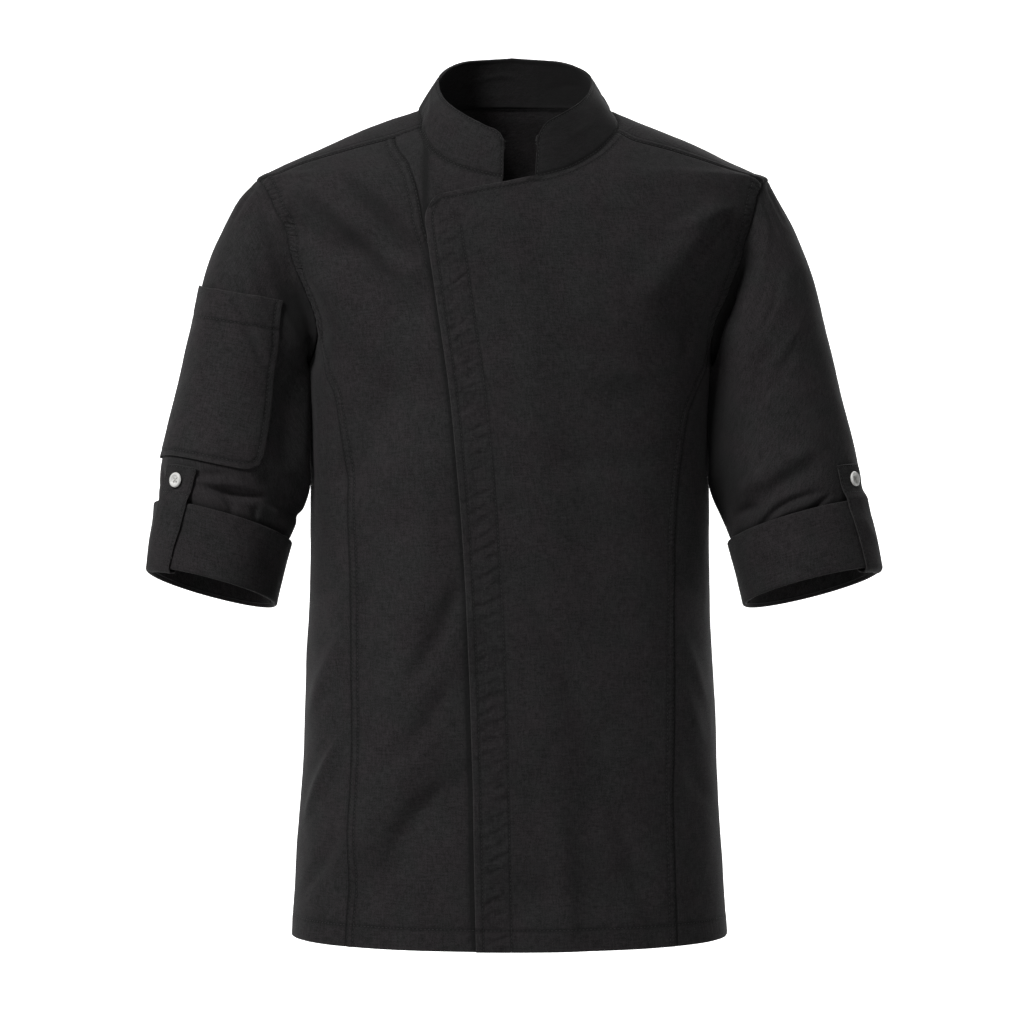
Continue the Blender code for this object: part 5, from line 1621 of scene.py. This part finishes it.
class Finish:
    """A material that is being built."""

    def __init__(self, name):
        self.material = bpy.data.materials.new(name)
        self.material.use_nodes = True
        self.tree = self.material.node_tree
        self.place = self.node("TexCoord", {}, {})["Object"]

    def node(self, kind, settings, values):
        """Adds a node: its settings, then its sockets' values or links. Gives its outputs by name."""
        made = self.tree.nodes.new("ShaderNode" + kind)
        for key, value in settings.items():
            setattr(made, key, value)
        for key, value in values.items():
            self.put(made.inputs[key], value)
        return {output.name: Value(self, output) for output in made.outputs if output.enabled}

    def put(self, socket, value):
        if isinstance(value, Value):
            self.tree.links.new(value.socket, socket)
        else:
            socket.default_value = value

    def noise(self, scale, detail=2.0, roughness=0.5, distortion=0.0, place=None):
        values = {"Vector": place or self.place, "Scale": scale, "Detail": detail, "Roughness": roughness}
        return self.node("TexNoise", {}, {**values, "Distortion": distortion})["Fac"]

    def mix(self, part, first, second):
        first, second = (value if isinstance(value, Value) else (*value, 1) for value in (first, second))
        return self.node("Mix", {"data_type": "RGBA"}, {"Factor": part, "A": first, "B": second})["Result"]

    def bump(self, height, strength, distance):
        return self.node("Bump", {}, {"Height": height, "Strength": strength, "Distance": distance})["Normal"]

    def set(self, **values):
        """Sets the shader's own sockets, whose names are given with underscores."""
        for key, value in values.items():
            self.put(self.tree.nodes["Principled BSDF"].inputs[key.replace("_", " ")], value)
        return self.material


# %% Near-black cotton twill
TWILL_RIB, TWILL_YARN = 0.75 * MM, 0.62 * MM
BLACK = {"warm": (0.0056, 0.0045, 0.0051), "cool": (0.0047, 0.0047, 0.0048)}
FADED = {"warm": (0.0366, 0.0326, 0.0347), "cool": (0.0336, 0.0328, 0.0337)}
# The light grey that rubbed edges and their painted rim highlight are painted towards.
RUBBED_AND_HIGHLIT = (0.1300, 0.1260, 0.1240)


def twill(name):
    cloth = Finish(name)
    parts = cloth.node("SeparateXYZ", {}, {"Vector": cloth.node("UVMap", {"uv_map": "cloth"}, {})["UV"]})
    across, up = parts["X"], parts["Y"]
    rib = (across * 0.46 - up * 0.89).wave(TWILL_RIB)
    yarn = (across * 0.89 + up * 0.46).wave(TWILL_YARN)
    wear, band, run = (
        cloth.node("Attribute", {"attribute_name": mark}, {})["Fac"] for mark in ("wear", "band", "run")
    )
    cloud, patch = cloth.noise(16.0, 3.0, 0.6), cloth.noise(55.0, 3.0, 0.6)
    mottle, slub = cloth.noise(260.0, 4.0, 0.7), cloth.noise(1300.0, 2.0, 0.6)

    def streaks(first, second):
        along = cloth.node("CombineXYZ", {}, {"X": across * first, "Y": up * second})["Vector"]
        return cloth.noise(1.0, 3.0, place=along)

    turns = run + patch * 0.9 + cloud
    tuck = turns.wave() ** 2.2 * ((cloth.noise(75.0, 3.0, 0.6) - 0.36) * 4.0).clamp()
    cross = (turns * 1.63 + mottle * 0.6).wave() ** 2 * ((cloth.noise(90.0, 3.0, 0.6) - 0.42) * 3.0).clamp()
    pucker = (tuck + cross * 0.6) * band * -1.0
    weave = streaks(620.0, 120.0) + streaks(120.0, 620.0)
    # rib * yarn paints the crests of the ribs lighter, a painted highlight, and pucker paints the tucks beside
    # the seams darker, a painted shade.
    fade = cloud * 0.34 + patch * 0.34 + mottle * 0.55 + slub * 1.60 + rib * yarn * 0.70 + pucker * 0.13
    part = (fade + weave * 0.76 - 1.905).clamp()
    hue = (cloth.noise(30.0, 2.0, 0.6) * 5.0 - 2.0).clamp()
    black, faded = (cloth.mix(hue, colour["warm"], colour["cool"]) for colour in (BLACK, FADED))
    # Where the mark is above zero the colour is painted lighter: wear, and a painted rim highlight.
    rubbed_and_highlit = (wear * (mottle * 1.3 + 0.1)).clamp()
    # Where it is below zero the colour is painted darker towards black: painted shade.
    shaded = cloth.mix((wear * -1.0).clamp() * 0.8, cloth.mix(part, black, faded), BLACK["cool"])
    relief = rib * 0.05 + yarn * 0.02 + slub * 0.06 + mottle * 0.05 + weave * 0.06 + pucker * 0.30
    return cloth.set(
        Base_Color=cloth.mix(rubbed_and_highlit * 0.5, shaded, RUBBED_AND_HIGHLIT),
        Roughness=0.86 - rubbed_and_highlit * 0.06 + mottle * 0.08,
        Normal=cloth.bump(relief, 1.0, 1 * MM),
        Specular_IOR_Level=0.25,
        Sheen_Weight=0.04,
        Sheen_Roughness=0.45,
    )


# %% Thread and button resin
def two_tone(name, noise, dark, light, roughness, bump=None, coat=0.0):
    """A finish with two colours, its roughness as a slope and a base, and its bump's size."""
    finish = Finish(name)
    cloud = finish.noise(*noise)
    finish.set(Base_Color=finish.mix(cloud, dark, light), Roughness=cloud * roughness[0] + roughness[1])
    if bump:
        finish.set(Normal=finish.bump(cloud, *bump))
    return finish.set(Coat_Weight=coat)


cloth_finish = twill("jacket_twill")
thread_finish = two_tone("black_thread", (700.0,), (0.007, 0.007, 0.007), (0.036, 0.034, 0.035), (0.2, 0.5),
                         (0.4, 0.08 * MM))
white_thread = two_tone("white_thread", (900.0,), (0.30, 0.29, 0.27), (0.55, 0.54, 0.51), (0.2, 0.5))
resin = two_tone("button_resin", (320.0, 4.0, 0.5, 1.2), (0.70, 0.69, 0.66), (0.86, 0.86, 0.85), (0.16, 0.22),
                 (0.25, 0.06 * MM), 0.25)

# %% Give each piece its finish
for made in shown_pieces():
    button, sewn = made.name.startswith("button"), made.name.endswith("_thread")
    if button:
        made.data.materials.append(white_thread if sewn else resin)
    else:
        made.data.materials.append(thread_finish if sewn else cloth_finish)

# %% [markdown]
#
# Each sheet's area is printed, with the share it fills of the size it was cut to. The numbers are
# what a maker would chalk: a rectangle that holds the piece, and how much of it the piece fills.

# %% Flat cuts in metres: width, length, how it is held and what it rests on
CUTS = {
    "front_left_overlap": (0.34, 0.70, "hung", ["yoke"]),
    "front_right_under": (0.22, 0.72, "hung", ["yoke"]),
    "front_right_inset": (0.13, 0.72, "hung", ["yoke"]),
    "side_front_right": (0.12, 0.54, "hung", ["front_right_under"]),
    "side_front_left": (0.12, 0.54, "hung", ["front_left_overlap"]),
    "back": (0.60, 0.66, "hung", ["yoke"]),
    "yoke": (0.58, 0.24, "draped", ["collar"]),
    "collar": (0.44, 0.052, "folded", ["yoke"]),
    "sleeve_right": (0.48, 0.34, "hung", ["yoke"]),
    "sleeve_left": (0.48, 0.34, "hung", ["yoke"]),
    "cuff_right": (0.42, 0.13, "folded", ["sleeve_right"]),
    "cuff_left": (0.42, 0.13, "folded", ["sleeve_left"]),
    "sleeve_pocket": (0.16, 0.16, "laid", ["sleeve_right"]),
    "tab_right": (0.038, 0.13, "folded", ["cuff_right"]),
    "tab_left": (0.038, 0.13, "folded", ["cuff_left"]),
}
FACES_OF_CUFF, MOST_OF_FLAT = 2, 0.999
for name, (width, length, held, rests_on) in CUTS.items():
    made = bpy.data.objects[name + "_cloth"]
    area = sum(face.area for face in made.data.polygons) / (FACES_OF_CUFF if name.startswith("cuff") else 1)
    print(name, "area", round(area, 4), "share of the flat cut", round(area / width / length, 3))
    stitched = [name + "_thread"] if name in threads else []

# %% [markdown]
# ## Floor, light and camera
#
# A catalogue picture of a hollow garment is taken in front of white paper that curves up from the
# floor, with a large soft light high at one side. The camera stands level with the waist.

# %% White paper that curves from floor to wall
PAPER_GLOW_FROM, PAPER_GLOW_FADE = 0.4, 0.8
PAPER_WIDTH, PAPER_Z, PAPER_FRONT, PAPER_BACK, PAPER_BEND, PAPER_TOP = 14.0, -1.02, -6.0, 5.6, 0.9, 5.0
PALE, BRIGHT = (0.48, 0.48, 0.48), (0.92, 0.92, 0.92)


def paper():
    bend = PAPER_BACK - PAPER_BEND
    section = [(PAPER_FRONT, PAPER_Z), (bend, PAPER_Z)]
    for angle in np.radians(np.linspace(0, 90, 13)[1:]):
        section.append((bend + PAPER_BEND * np.sin(angle), PAPER_Z + PAPER_BEND * (1 - np.cos(angle))))
    section.append((PAPER_BACK, PAPER_TOP))
    sheet = bmesh.new()
    verts = [sheet.verts.new((-PAPER_WIDTH / 2, y, z)) for y, z in section]
    edges = [sheet.edges.new(pair) for pair in zip(verts, verts[1:])]
    grown = bmesh.ops.extrude_edge_only(sheet, edges=edges)["geom"]
    moved = [item for item in grown if isinstance(item, bmesh.types.BMVert)]
    bmesh.ops.translate(sheet, verts=moved, vec=(PAPER_WIDTH, 0, 0))
    bmesh.ops.recalc_face_normals(sheet, faces=sheet.faces[:])
    made = mesh_object("paper", sheet)
    made.data.shade_smooth()
    white = Finish("white_paper")
    far = white.node("SeparateXYZ", {}, {"Vector": white.place})["Y"]
    behind = ((far - PAPER_GLOW_FROM) * (1 / PAPER_GLOW_FADE)).clamp()
    made.data.materials.append(white.set(
        Base_Color=white.mix((behind + white.noise(3.0) * 0.04).clamp(), PALE, BRIGHT),
        Roughness=0.9,
        Emission_Strength=1.0,
        Emission_Color=white.mix(behind, (0.05, 0.05, 0.05), (1, 1, 1)),
    ))


paper()

# %% Lights: place, target, size in metres and power in watts
LIGHTS = {
    "key": ((-2.10, -2.3, 2.3), (-0.05, 0.0, -0.40), 0.95, 128),
    "fill": ((2.6, -2.8, 0.4), (0.05, 0.0, -0.35), 2.0, 10),
    "back": ((1.3, 2.7, 1.3), (0.0, 0.0, -0.40), 1.2, 26),
    "top": ((0.0, 0.9, 2.6), (0.0, 0.0, -0.10), 1.6, 8),
}
for name, (place, target, size, power) in LIGHTS.items():
    lamp = bpy.data.lights.new(name, "AREA")
    lamp.shape, lamp.size, lamp.energy = "SQUARE", size, power
    made = bpy.data.objects.new(name, lamp)
    made.location = place
    made.rotation_mode = "QUATERNION"
    made.rotation_quaternion = (Vector(target) - Vector(place)).to_track_quat("-Z", "Y")
    bpy.context.scene.collection.objects.link(made)

world = bpy.data.worlds.new("studio")
world.use_nodes = True
world.node_tree.nodes["Background"].inputs["Color"].default_value = (1, 1, 1, 1)
world.node_tree.nodes["Background"].inputs["Strength"].default_value = 0.08
bpy.context.scene.world = world
bpy.context.scene.view_settings.view_transform = "Standard"

# %% Camera
CAMERA_PLACE = (0.0, -2.8, -0.362)
PIXELS, FOCAL_PIXELS = 1024, 3111
lens = bpy.data.cameras.new("camera")
lens.sensor_width = 36.0
lens.lens = FOCAL_PIXELS * lens.sensor_width / PIXELS
camera = bpy.data.objects.new("camera", lens)
camera.location = CAMERA_PLACE
camera.rotation_euler = (np.pi / 2, 0, 0)
bpy.context.scene.collection.objects.link(camera)
bpy.context.scene.camera = camera
